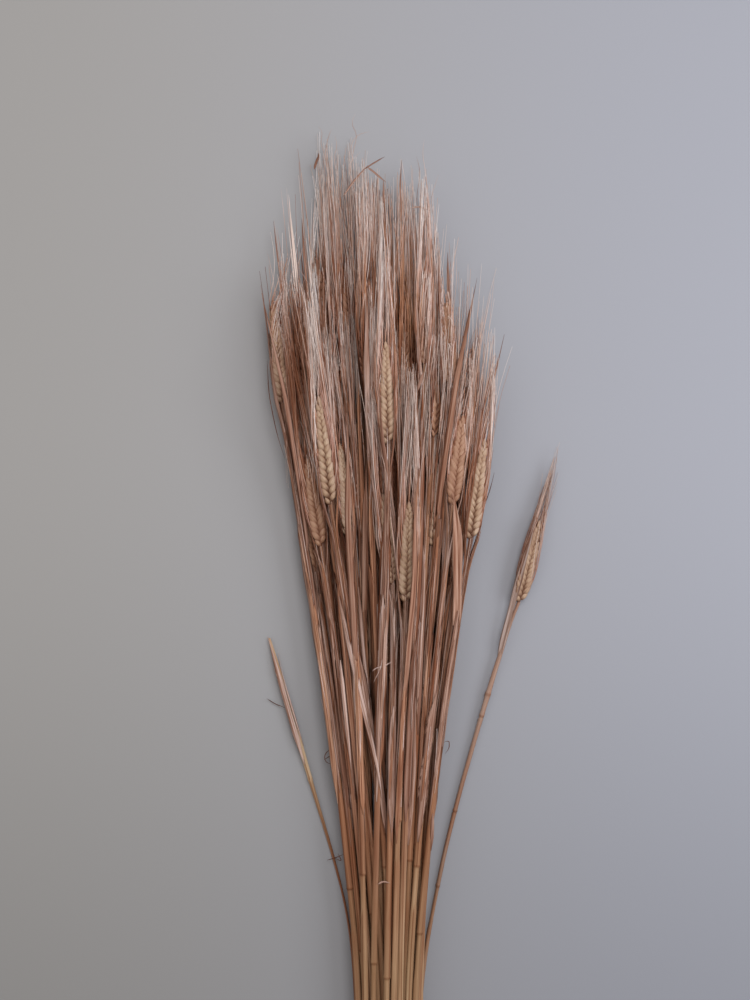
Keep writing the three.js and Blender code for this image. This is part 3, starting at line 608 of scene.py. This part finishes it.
for s in stalks:
    if "ear" not in s:
        continue
    draw, shown, stray = s["draw"], s["shown"], s["stray"]
    along, across, out = s["along"], s["across"], s["out"]
    husk = np.arange(len(s["husk_tips"]))
    more = draw.choice(husk[husk > 5], 4 if shown else 32, replace=False)
    start_at = np.concatenate([husk[husk > 2], more])
    n = len(start_at)
    start, way = s["husk_tips"][start_at], s["husk_ways"][start_at]
    side, face = np.sign(s["husk_sides"][start_at]), s["husk_faces"][start_at]
    height = (start - s["foot"]) @ along
    brief = draw.random(n) < 0.15
    past = s["reach"] * np.where(brief, draw.uniform(0.3, 0.7, n), draw.uniform(0.72, 1.04, n))
    if stray:
        past = s["reach"] * draw.uniform(0.25, 1.45, n)
    run = s["ear"] + past - 0.22 * (s["ear"] - height) - height
    outside = draw.random(n) < 0.8
    hug = np.where(outside, side * draw.uniform(0.0032, 0.0062, n), draw.uniform(-0.004, 0.004, n))
    lift = np.where(face == 0, draw.normal(0, 0.001, n), face * draw.uniform(0.0012, 0.0042, n))
    wide = side * draw.uniform(0.0005, 0.003 if shown else 0.006, n)
    wide = wide + draw.normal(0, 0.011 if shown else 0.026, n) * run
    deep = lift * 0.6 + draw.normal(0, 0.02, n) * run
    if stray:
        hug, wide, deep = hug * 0.7, wide * 0.35 + 0.001, deep * 0.4
    axis = s["foot"] + height[:, None] * along
    end = axis + run[:, None] * along + wide[:, None] * across + deep[:, None] * out

    # Most awns that end a little short of the brush's outline are drawn out to near it, in tufts, and
    # those that end beyond it are cut back
    tufts = 0.007 * np.sin(end[:, 0] * 740 + 1) + 0.0055 * np.sin(end[:, 0] * 1290)
    top = np.interp(end[:, 0], crown_x, crown_y) + tufts
    if not stray:
        short = top - end[:, 1]
        stretch = (short > 0) & (short < 0.05) & (draw.random(n) < 0.75)
        full = top + 0.006 - draw.exponential(0.024, n)
        end += (np.where(stretch | (short < 0.002), full - end[:, 1], 0) / along[1])[:, None] * along
    free = np.ones(n, dtype=bool)
    for i, tip in enumerate(s["awn_tips"]):
        far = np.linalg.norm(start - s["awn_starts"][i], axis=1) + np.where(free, 0, 1)
        end[far.argmin()] = tip
        free[far.argmin()] = False
    knee = axis + (0.42 * run)[:, None] * along + hug[:, None] * across + lift[:, None] * out
    if not stray:
        for place, held in ((knee, 1.0), (end, np.where(free, 1.0, 0.0))):
            left, right = np.interp(place[:, 1], left_y, left_x), np.interp(place[:, 1], right_y, right_x)
            inside = np.clip(place[:, 0], left + draw.uniform(0, 0.006, n), right - draw.uniform(0, 0.008, n))
            place[:, 0] += held * (inside - place[:, 0])
    t = np.linspace(0, 1, 10)
    reach = np.linalg.norm(end - start, axis=1)
    handle = start + (0.35 * way + 0.65 * along) * (0.2 * reach)[:, None]
    swerve = draw.normal(0, 1, (n, 3)) * (reach * 0.010)[:, None]
    line = (
        start[:, None] * ((1 - t) ** 3)[:, None]
        + handle[:, None] * (3 * t * (1 - t) ** 2)[:, None]
        + knee[:, None] * (3 * t**2 * (1 - t))[:, None]
        + end[:, None] * (t**3)[:, None]
        + swerve[:, None] * (np.sin(math.pi * t * 2.2) * t)[:, None]
    )

    # A quarter of the front ears' awns and 3 in 5 of the others' come up to the top of the heap
    # beyond their ear, unless they would cover an ear that shows
    cells = heap_cell(line[..., 0], line[..., 1])
    rises = ~kept_clear[cells].any(axis=1) & free & (draw.random(n) < (0.25 if shown else 0.6))
    climb = np.clip((t - 0.08) / 0.34, 0, 1)
    above = np.maximum(heap_top[cells] + draw.uniform(0.0003, 0.0022, n)[:, None] - line[..., 2], 0)
    line[..., 2] += above * (climb**2 * (3 - 2 * climb)) * rises[:, None]
    line[..., 2] = np.maximum(line[..., 2], 0.0007)
    thin = 0.00034 * (1 - 0.6 * t + 0.7 * np.exp(-t / 0.08))[None, :] * draw.uniform(0.75, 1.25, n)[:, None]
    thin = thin * (0.7 if stray else 1)
    u = np.arange(3) / 3 * 2 * math.pi
    direction = unit(np.gradient(line, axis=1))
    first = unit(np.cross(direction, across))
    rings = ring_points(line, first, np.cross(direction, first), thin[..., None], u)
    rings[..., 2] = np.maximum(rings[..., 2], 0.0002)

    # One tuft at the left is bleached to straw, the one left of it is the brownest of all, and one
    # near the middle is golden brown
    shaded_deep = ~rises & (not shown)
    # Awns of hidden ears that stay deep in the heap get painted shade: redder, less pale and darker
    dye = np.clip(draw.normal(0.62, 0.3, n) - 0.45 * shaded_deep, 0, 1)
    pale = 1.08 * t[None, :] + draw.uniform(-0.6, 0.5, n)[:, None] - 0.25 * shaded_deep[:, None]
    x, y = line[..., 0], line[..., 1]
    bleached = np.exp(-(((x + 0.0695) / 0.0028) ** 2)) * np.clip((y - 0.09) / 0.03, 0, 1)
    browned = np.exp(-(((x + 0.083) / 0.0075) ** 2) - ((y - 0.175) / 0.05) ** 2)
    gilded = np.exp(-(((x + 0.004) / 0.008) ** 2) - ((y - 0.215) / 0.055) ** 2)
    dark_one = draw.random(n) < 0.22
    pale = pale + 0.7 * bleached - browned - 0.7 * gilded - 0.8 * dark_one[:, None] + 0.25 * stray
    at = vector(draw.uniform(0, 9, n)[:, None, None], 0.0, (reach[:, None] * t)[:, :, None])
    shade = np.where(dark_one, draw.uniform(0.45, 0.75, n), draw.uniform(0.85, 1.1, n))[:, None, None]
    # Painted shade: darker at the feet where the awns crowd by their ear, most on hidden ears
    shade = shade * np.minimum(1.08, (0.8 if shown else 0.5) + 0.8 * t)[None, :, None] * (0.8 if stray else 1)
    shade = shade * np.interp(y, [0.17, 0.25], [0.91, 1.11])[..., None]
    shade = shade * np.where(shaded_deep, 0.92, 1)[:, None, None]
    shade = shade * (1 - 0.42 * browned + 0.1 * bleached + 0.1 * gilded)[..., None]
    dye = dye[:, None] - 0.6 * browned - 0.5 * bleached - 0.9 * gilded - 0.5 * dark_one[:, None]
    look_at = vector(np.clip(dye, 0, 1)[:, :, None], np.clip(pale, 0, 1)[:, :, None], shade)
    awns = strand_object(s["name"] + "_awns", rings, at, look_at, bristle)


# Leaves and loose strips of sheath.
# A dry blade is a thin channel with a rib, rolled in and drawn to a point. It grows out of the collar
# of its stalk. Strips of torn sheath wrap part of the way round their stems and run on up past them.
def blade_dye(tree, skin, look):
    """The dye, with brown blotches where it is reddest, and dark where the leaf's end has died back."""
    less = scaled(tree, look["X"], 0.7, 0.1)
    partly = added(tree, "ShaderNodeMath", {0: skin["Blotches"], 1: less}, operation="MULTIPLY")[0]
    dyed = red_to_mauve(tree, look["X"], (0.49, 0.255, 0.155, 1), (0.53, 0.375, 0.325, 1))
    patchy = blend(tree, partly, dyed, (0.38, 0.165, 0.09, 1))
    return blend(tree, look["Y"], patchy, (0.22, 0.12, 0.085, 1))


blade_skin = plant_material("dry_blade", 700, 1.0, (0.42, 1.3), 0.75, 0.2, blade_dye)


def marks_of(points):
    """How far along a joined line each of its points lies."""
    return np.concatenate([[0], np.cumsum(np.linalg.norm(np.diff(points, axis=0), axis=1))])


def averaged(points, marks, spots):
    """The mean of the places on a joined line that lie at several sets of distances along it."""
    return np.mean([[np.interp(q, marks, points[:, i]) for i in range(3)] for q in spots], axis=0).T


for s in stalks:
    if len(s["blade"]) < 3:
        continue
    draw = s["draw"]
    knots = np.array([p for p, _ in s["blade"]])
    arms = np.array([a * (1 if a @ s["blade"][0][1] > 0 else -1) for _, a in s["blade"]])
    half = np.linalg.norm(arms, axis=1) * 1.1
    if s["stray"]:
        # The stray's leaf lies folded along its stem and its ear
        half *= 1.35
        spot = s["foot"] + ((knots[:, 1] - s["foot"][1]) / s["along"][1])[:, None] * s["along"]
        below = knots[:, 1] < s["foot"][1] + 0.006
        stem_x, stem_z = (np.interp(knots[:, 1], s["line"][:, 1], s["line"][:, i]) for i in (0, 2))
        knots[:, 0] += np.where(below, 0.75 * (stem_x - 0.0006 - knots[:, 0]), 0.45 * (spot - knots)[:, 0])
        knots[:, 2] += 0.55 * (spot - knots)[:, 2]
        knots[:, 2] = np.where(below, np.maximum(knots[:, 2], stem_z + 0.0013), knots[:, 2])
    root_y = knots[0, 1] - 0.013
    root = np.array([np.interp(root_y, s["line"][:, 1], s["line"][:, i]) for i in range(3)])
    path = np.concatenate([[root], knots])
    widths = np.concatenate([[0.0012], half[:-1], [0.0002]])
    if s["name"] == "stalk_05":
        widths[0] = 0.0031
    marks = marks_of(path)
    d = np.unique(np.concatenate([np.linspace(0, marks[2], 9), np.linspace(marks[2], marks[-1], 26)]))
    soft = [np.clip(d + by * marks[1], 0, marks[-1]) for by in (-0.6, 0, 0.6)]
    line = averaged(path, marks, soft)
    w = np.interp(d, marks, widths) * (1 + 0.08 * np.sin(d * 160 + draw.uniform(0, 6)))
    taper = 0.18 if s["name"] in ("stalk_12", "stalk_13", "stalk_32") else 0.35
    if s["name"] == "stalk_32":
        w *= 1.35
    w *= np.minimum(1, ((marks[-1] - d) / (taper * (marks[-1] - marks[1])) + 0.02) ** 0.8)
    flat = arms[1] / half[1]
    tangent = unit(np.gradient(line, axis=0))
    flat = unit(flat - (tangent @ flat)[:, None] * tangent)
    face = np.cross(tangent, flat)
    if face[:, 2].mean() < 0:
        face, flat = -face, -flat
    u = np.array([-1, -0.55, 0, 0.55, 1, 0.55, 0, -0.55])
    depth = np.where(np.arange(8) < 5, 0, -0.00022)
    cup = 0.32 * (np.abs(u) ** 1.5 - 0.35) * draw.choice([-1, 1])
    rings = (
        line[:, None]
        + (w[:, None] * u)[..., None] * flat[:, None]
        + (w[:, None] * cup + depth)[..., None] * face[:, None]
    )[None]
    rings[..., 2] = np.maximum(rings[..., 2], 0.0002)
    rosy = s["name"] in ("stalk_23", "stalk_32")
    dye = 1.9 if s["stray"] else 1.0 if rosy else draw.uniform(0.5, 1)
    at = vector(w[None, :, None] * u + draw.uniform(0, 9), 0.0, d[None, :, None])
    far = np.clip((d / marks[-1] - 0.72) / 0.28, 0, 1)[None, :, None] * draw.uniform(0.3, 1)
    look_at = vector(dye, far, draw.uniform(0.72, 0.98))
    blade = strand_object(s["name"] + "_leaf", rings, at, look_at, blade_skin)

for s in stalks:
    draw, shown, broken = s["draw"], s["shown"], "ear" not in s
    if s["stray"]:
        continue
    n = 3 if broken else 22 if shown else 14
    neck = -0.01 if broken else s["foot"][1]
    upward = draw.random(n) < 0.65
    lifted = np.where(upward, draw.normal(math.pi / 2, 0.6, n), draw.uniform(0, 2 * math.pi, n))
    lowest = s["line"][0, 1] + 0.05
    begin = np.maximum(draw.uniform(lowest, s["collar"] - 0.01, n), draw.uniform(-0.17, -0.05, n))
    finish = np.minimum(begin + draw.uniform(0.08, 0.24, n), neck + 0.10)
    if broken:
        begin, finish = draw.uniform(-0.112, -0.075, n), draw.uniform(-0.040, -0.016, n)
        finish[0] = -0.0165
    past_neck = finish > neck - 0.004
    if shown:
        lifted = np.where(past_neck, draw.choice([0, math.pi], n) + draw.normal(0, 0.3, n), lifted)
    t = np.linspace(0, 1, 15)
    y = begin[:, None] + (finish - begin)[:, None] * t
    stem_y = s["line"][:, 1]
    far = s["line"][-1] + [-0.001, 0.005, 0] if broken else s["foot"] + s["along"] * 0.2
    line_x, line_y, line_z = (np.append(s["line"][:, i], far[i]) for i in range(3))
    cx, cz = np.interp(y, line_y, line_x), np.interp(y, line_y, line_z)
    beyond = np.clip((y - neck + 0.02) / 0.035, 0, 1)
    beyond = beyond**2 * (3 - 2 * beyond)
    girth = np.interp(y, stem_y, s["girth"])
    cells = heap_cell(cx + girth * np.cos(lifted)[:, None], y)
    lifted = np.where(kept_clear[cells].any(axis=1) & ~(past_neck & shown), -math.pi / 2, lifted)
    wander = draw.normal(0, 0.35, n)[:, None] * np.sin(
        t * draw.uniform(1, 4, n)[:, None] + draw.uniform(0, 6, n)[:, None])
    off = (girth * 1.09 + 0.0002) * (1 - beyond) + 0.0056 * beyond + 0.0012 * np.abs(wander) + 0.0016 * t**6
    turn = lifted[:, None] + wander
    half = (0.0007 + 0.0040 * draw.beta(1.2, 2.4, n)) * np.where(past_neck, 0.7, 1)
    ragged = 1 + 0.08 * np.sin(y * draw.uniform(60, 170, n)[:, None] + draw.uniform(0, 6, n)[:, None])
    blunt, sharp = draw.uniform(1.5, 9, n)[:, None], draw.uniform(2, 8, n)[:, None]
    half = half[:, None] * np.minimum(1, 0.15 + blunt * t) * np.minimum(1, 0.05 + sharp * (1 - t)) * ragged
    u = np.array([-1, -0.5, 0, 0.5, 1, 0.5, 0, -0.5])
    shell = np.where(np.arange(8) < 5, 0.0, -0.00016)
    hug = draw.uniform(0.15, 0.75, n)[:, None, None]
    aside = half[..., None] * u
    tilt = draw.normal(0, 0.22, n)[:, None, None]
    sink = hug * aside**2 / (2 * off[..., None]) - shell + tilt * np.abs(aside)
    out_x, out_z = np.cos(turn)[..., None], np.sin(turn)[..., None]
    level = off[..., None] - sink
    rings = vector(
        cx[..., None] + level * out_x - aside * out_z, y[..., None],
        cz[..., None] + level * out_z + aside * out_x)
    rings[..., 2] = np.maximum(rings[..., 2], 0.0002)
    at = vector(aside + draw.uniform(0, 9, n)[:, None, None], 0.0, y[..., None])
    red = draw.random(n) < (0.35 if shown else 0.6)
    dye = np.where(red, draw.uniform(0, 0.3, n), draw.uniform(0.7, 1, n))[:, None, None]
    light = draw.random(n) < 0.2
    shade = np.where(light, draw.uniform(1.0, 1.2, n), draw.uniform(0.5, 1.05, n))[:, None, None]
    if broken:
        dye = shade = 1.0
    strips = strand_object(s["name"] + "_strips", rings, at, vector(dye, 0.0, shade), blade_skin)
    if broken:
        continue

    # Single fibres that have come loose from the sheaths and stand a little off them
    n, t = (34 if shown else 14), np.linspace(0, 1, 8)
    begin = draw.uniform(-0.14, neck - 0.01, n)
    y = begin[:, None] + draw.uniform(0.03, 0.13, n)[:, None] * t
    turn = draw.normal(math.pi / 2, 0.8, n)[:, None] + draw.normal(0, 0.5, n)[:, None] * t
    off = np.interp(y, stem_y, s["girth"]) + 0.0003 + draw.exponential(0.0013, n)[:, None] * t**2
    cx = np.interp(y, line_y, line_x) + off * np.cos(turn)
    cz = np.interp(y, line_y, line_z) + off * np.sin(turn)
    u = np.arange(3) / 3 * 2 * math.pi
    thin = draw.uniform(0.00016, 0.00034, n)[:, None, None] * (1 - 0.5 * t)[:, None]
    rings = vector(cx, y, cz)[:, :, None] + vector(thin * np.cos(u), 0.0, thin * np.sin(u))
    rings[..., 2] = np.maximum(rings[..., 2], 0.0002)
    at = vector(draw.uniform(0, 9, n)[:, None, None], 0.0, y[..., None])
    dye = draw.uniform(0.3, 1, n)[:, None, None]
    look_at = vector(dye, 0.0, draw.choice([0.45, 0.8, 1.3, 1.5], n)[:, None, None])
    fibres = strand_object(s["name"] + "_fibres", rings, at, look_at, blade_skin)


# Loose fibres and broken ends of leaf.
# Hairs that have peeled off the sheaths curl out at the sides and the top, short scraps are caught
# among the stems, and a few ends of leaf stand bent over the awns. Each is given by points in millimetres.
def along_points(points, count):
    """A smooth line through a few points: the points are joined, and then averaged along the line."""
    points = np.array(points) * 0.001
    marks = marks_of(points)
    d = np.linspace(0, marks[-1], count)
    near = [np.clip(d + by * marks[-1] / len(points), 0, marks[-1]) for by in (-0.35, 0, 0.35)]
    return averaged(points, marks, [np.where((d > 0) & (d < marks[-1]), q, d) for q in near])


def flat_strands(name, lines, half, thick, dye, tip, shade, skin=blade_skin):
    """Flat strands along lines[strand, point]: six corners, wide across the line and thin upwards,
    drawn in towards both ends. A blade darkens by tip * t^3 along it, a bristle is pale all along.
    Each value is one for all strands, or one for each."""
    half, thick, dye, tip, shade = (np.reshape(v, (-1, 1, 1)) for v in (half, thick, dye, tip, shade))
    tangent = unit(np.gradient(lines, axis=1))
    side = np.cross(tangent, [0.0, 0, 1])
    side /= np.maximum(np.linalg.norm(side, axis=2, keepdims=True), 1e-6)
    up = np.cross(side, tangent)
    t = np.linspace(0, 1, lines.shape[1])[:, None]
    narrow = np.minimum(1, 0.2 + 4 * t) * np.minimum(1, 0.12 + 2.6 * (1 - t))
    wide = half * narrow * np.array([-1, -0.5, 0.5, 1, 0.5, -0.5])
    deep = thick * narrow * np.array([0, 1, 1, 0, -1, -1])
    rings = lines[:, :, None] + wide[..., None] * side[:, :, None] + deep[..., None] * up[:, :, None]
    rings[..., 2] = np.maximum(rings[..., 2], 0.00015)
    at = vector(wide + np.arange(len(lines))[:, None, None] * 0.37, 0.0, lines[:, :, 1][..., None])
    look_at = vector(dye, tip * (t**3 if skin is blade_skin else 1), shade)
    return strand_object(name, rings, at, look_at, skin)


hairs = [
    [(-53, -97, 9), (-60, -99, 9), (-63, -103, 8), (-62, -108, 7), (-55, -110, 8)],
    [(-63, -106, 8), (-57, -102, 9), (-52, -101, 10)],
    [(-61, -180, 3), (-54, -177, 8), (-48, -174, 10)],
    [(-53, -174, 9), (-50, -180, 7), (-56, -178, 5)],
    [(24, -93, 10), (28, -92, 8), (28, -98, 6), (25, -102, 6)],
    [(-105, -62, 2), (-99, -66, 2), (-91, -69, 3)],
    [(-104, 184, 14), (-103, 160, 14), (-97, 130, 14), (-91, 112, 13)],
    [(-84, 80, 12), (-81, 62, 11), (-77, 40, 10)],
    [(-67, 353, 16), (-63, 349, 16), (-66, 343, 14), (-62, 332, 13), (-60, 312, 12)],
    [(-57, 352, 16), (-60, 345, 16), (-62, 335, 14), (-60, 318, 13)],
    [(-40, 361, 24), (-44, 353, 22), (-38, 347, 21), (-41, 338, 20), (-44, 320, 18), (-43, 300, 16)],
    [(-30, 348, 23), (-39, 346, 22), (-44, 338, 20), (-40, 318, 18)],
    [(-36, 334, 22), (-46, 324, 22), (-42, 312, 20), (-38, 298, 18)],
    [(-55, 346, 20), (-53, 338, 20), (-56, 330, 18), (-52, 312, 17)],
    [(-94, 308, 15), (-92, 290, 15), (-90, 268, 14), (-88, 240, 13)],
    [(-90, 309, 15), (-89, 295, 15), (-86, 268, 14), (-84, 240, 13)],
    [(-88, 302, 14), (-87, 286, 14), (-84, 262, 13), (-82, 236, 12)],
    [(-99, 286, 14), (-97, 270, 14), (-94, 250, 13), (-91, 226, 13)],
    [(-97, 280, 14), (-94, 262, 14), (-92, 246, 13), (-89, 226, 13)],
    [(-104, 262, 13), (-101, 250, 13), (-99, 236, 13), (-96, 216, 12)],
    [(32, 268, 14), (31, 250, 14), (30, 232, 14), (29, 205, 13)],
    [(33, 259, 15), (33, 240, 15), (31, 222, 14), (30, 200, 13)],
    [(56, 226, 14), (53, 208, 14), (50, 190, 13), (46, 165, 12)],
    [(10, 344, 16), (8, 334, 16), (11, 318, 16), (7, 300, 15), (8, 280, 14)],
    [(4, 332, 14), (7, 320, 15), (4, 302, 15), (6, 284, 14)],
    [(-7, 330, 16), (-4, 312, 16), (-7, 292, 15)],
    [(20, 318, 16), (14, 301, 16), (17, 282, 15), (22, 262, 14)],
    [(-89, 262, 12), (-78, 246, 13), (-72, 236, 14)],
    [(60.5, 103, 12), (58, 92, 14), (48.5, 66, 16), (39, 42, 17)],
    [(-101, 205, 15), (-98, 196, 15), (-94, 170, 15)],
]
lines = np.stack([along_points(h, 14) for h in hairs])
lines[..., 1] = np.minimum(lines[..., 1], 0.362)
high_up = lines[:, 0, 1] > 0.2
hair_shade = np.random.default_rng(77).uniform(0.2, 0.35, len(lines))
hairs_made = flat_strands(
    "stray_hairs", lines, np.where(high_up, 0.00017, 0.00029), np.where(high_up, 0.00014, 0.00020),
    1.0, 0.0, np.where(high_up, 1.2, hair_shade))

# Points, half the width in metres, how dark the end is, and the shade
broken_ends = [
    ([(-49, 300, 30), (-42, 310, 31), (-35, 318, 32), (-31, 322, 33)], 0.0007, 0.3, 0.8),
    ([(-34, 319, 32), (-28, 323, 33), (-19, 328, 34)], 0.0005, 0.9, 0.6),
    ([(-32, 321, 33), (-28, 318, 34), (-22, 313, 33), (-18, 310, 32)], 0.0007, 0.4, 0.75),
    ([(-20, 312, 32), (-20, 300, 31), (-18, 284, 29), (-16, 262, 27)], 0.0006, 0.2, 0.6),
    ([(-8, 280, 25), (-7, 292, 27), (-8, 306, 27), (-7, 327, 26)], 0.0006, 0.9, 0.65),
    ([(-70, 322, 15), (-69, 326, 15), (-67, 331, 15), (-67, 334, 15)], 0.0009, 1.0, 0.5),
    ([(0, 293, 22), (5, 294, 23), (9, 293, 23), (14, 291, 22)], 0.0006, 0.2, 1.1),
    ([(10, 286, 22), (9, 293, 23)], 0.0005, 0.2, 1.1),
    ([(-74, 222, 13), (-76.5, 250, 13), (-78, 270, 13), (-79, 287, 12)], 0.0009, 0.9, 0.6),
    ([(-91, 214, 13), (-94, 240, 13), (-97, 262, 14), (-99.5, 285, 14)], 0.0006, 0.6, 0.6),
    ([(-28, -40, 26), (-24, -37, 26), (-19, -36, 28), (-14, -33, 29)], 0.0005, 0.2, 1.15),
    ([(-27, -48, 26), (-22, -38, 27), (-20, -28, 29)], 0.0004, 0.1, 1.1),
    ([(-24, -193, 24), (-20, -191, 26), (-15, -192, 25)], 0.0006, 0.1, 1.1),
    ([(-51, -32, 26), (-48, -62, 28), (-45, -92, 28), (-43, -110, 27)], 0.0014, 0.1, 0.95),
    ([(15.6, -143, 14), (15.2, -158, 14), (14.4, -170, 13)], 0.0013, 0.2, 0.7),
    ([(-52, 14, 20), (-45, -18, 20), (-36, -60, 20), (-25, -104, 20), (-21, -130, 20)], 0.0021, 0.1, 0.98),
    ([(-38, 20, 20), (-35, -20, 20), (-31, -60, 20), (-30, -85, 20)], 0.0014, 0.1, 0.9),
    ([(8.5, 174, 35), (6.5, 168, 34), (4, 160, 34)], 0.0012, 0.5, 0.65),
]
for number, (points, half, tip, shade) in enumerate(broken_ends):
    end = along_points(points, 12)
    end[:, 2] = np.maximum(end[:, 2], heap_top[heap_cell(end[:, 0], end[:, 1])] + 0.0007)
    piece = flat_strands(f"broken_end_{number + 1:02d}", end[None], half, 0.00018, 1.0, tip, shade)
pale_ends = [
    [(-80.5, 212, 13), (-83, 240, 13), (-85.5, 268, 14), (-88.5, 304, 15)],
    [(-79, 214, 13), (-81.5, 240, 13), (-84, 262, 14), (-87.5, 294, 15)],
    [(-82, 214, 13), (-84.5, 240, 13), (-86.5, 262, 14), (-89, 284, 15)],
]
pale_made = flat_strands(
    "bleached_ends", np.stack([along_points(p, 12) for p in pale_ends]), [0.0006, 0.0005, 0.0004],
    0.0002, 0.0, 1.0, [1.0, 0.94, 0.97], bristle)


# The surface that the bundle lies on: plain, pale and matt, in soft studio light that is cool and
# brighter at the right and top, and warm and dimmer at the lower left. Its colour holds part of this
# light: painted cool light towards the right and painted shade towards the bottom.
floor_mesh = bpy.data.meshes.new("floor")
floor_mesh.from_pydata([(-3, -3, 0), (3, -3, 0), (3, 3, 0), (-3, 3, 0)], [], [(0, 1, 2, 3)])
floor = bpy.data.objects.new("floor", floor_mesh)
bpy.context.scene.collection.objects.link(floor)
wall = bpy.data.materials.new("pale_floor")
wall.use_nodes = True
tree = wall.node_tree
apart = added(tree, "ShaderNodeSeparateXYZ", {0: tree.nodes.new("ShaderNodeTexCoord").outputs["Object"]})
sideways, painted_falloff = (
    added(tree, "ShaderNodeMapRange", sockets, interpolation_type="SMOOTHSTEP")["Result"]
    for sockets in (
        {"Value": apart["X"], "From Min": -0.33, "From Max": 0.25},
        {"Value": apart["Y"], "From Min": -0.40, "From Max": 0.15, "To Min": 0.75},
    )
)
# Painted light: cooler towards the right, and painted shade, darker towards the bottom
painted_light_tint = blend(tree, sideways, (0.371, 0.369, 0.370, 1), (0.365, 0.382, 0.443, 1))
feed(tree, tree.nodes["Principled BSDF"], {
    "Base Color": blend(tree, 1, painted_light_tint, painted_falloff, "MULTIPLY"), "Roughness": 0.9})
floor_mesh.materials.append(wall)
floor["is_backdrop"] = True

world = bpy.data.worlds.new("studio")
world.use_nodes = True
world.node_tree.nodes["Background"].inputs["Color"].default_value = (1.0, 0.96, 0.93, 1)
world.node_tree.nodes["Background"].inputs["Strength"].default_value = 0.44
bpy.context.scene.world = world
for label, place, turn, size, power, colour in (
    ("key", (0.35, 0.62, 1.6), (-0.15, 0.22, 0), 0.9, 12.6, (1.0, 0.97, 0.945)),
    ("side", (1.05, 0.0, 0.75), (0.05, 0.95, 0), 0.6, 6.0, (0.95, 0.97, 1.0)),
    ("fill", (-1.2, 0.3, 1.2), (-0.15, -0.8, 0), 1.4, 2.4, (1.0, 0.84, 0.72)),
):
    lamp = bpy.data.lights.new(label, "AREA")
    lamp.size, lamp.energy, lamp.color = size, power, colour
    lit = bpy.data.objects.new(label, lamp)
    lit.location, lit.rotation_euler = place, turn
    bpy.context.scene.collection.objects.link(lit)


low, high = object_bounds()
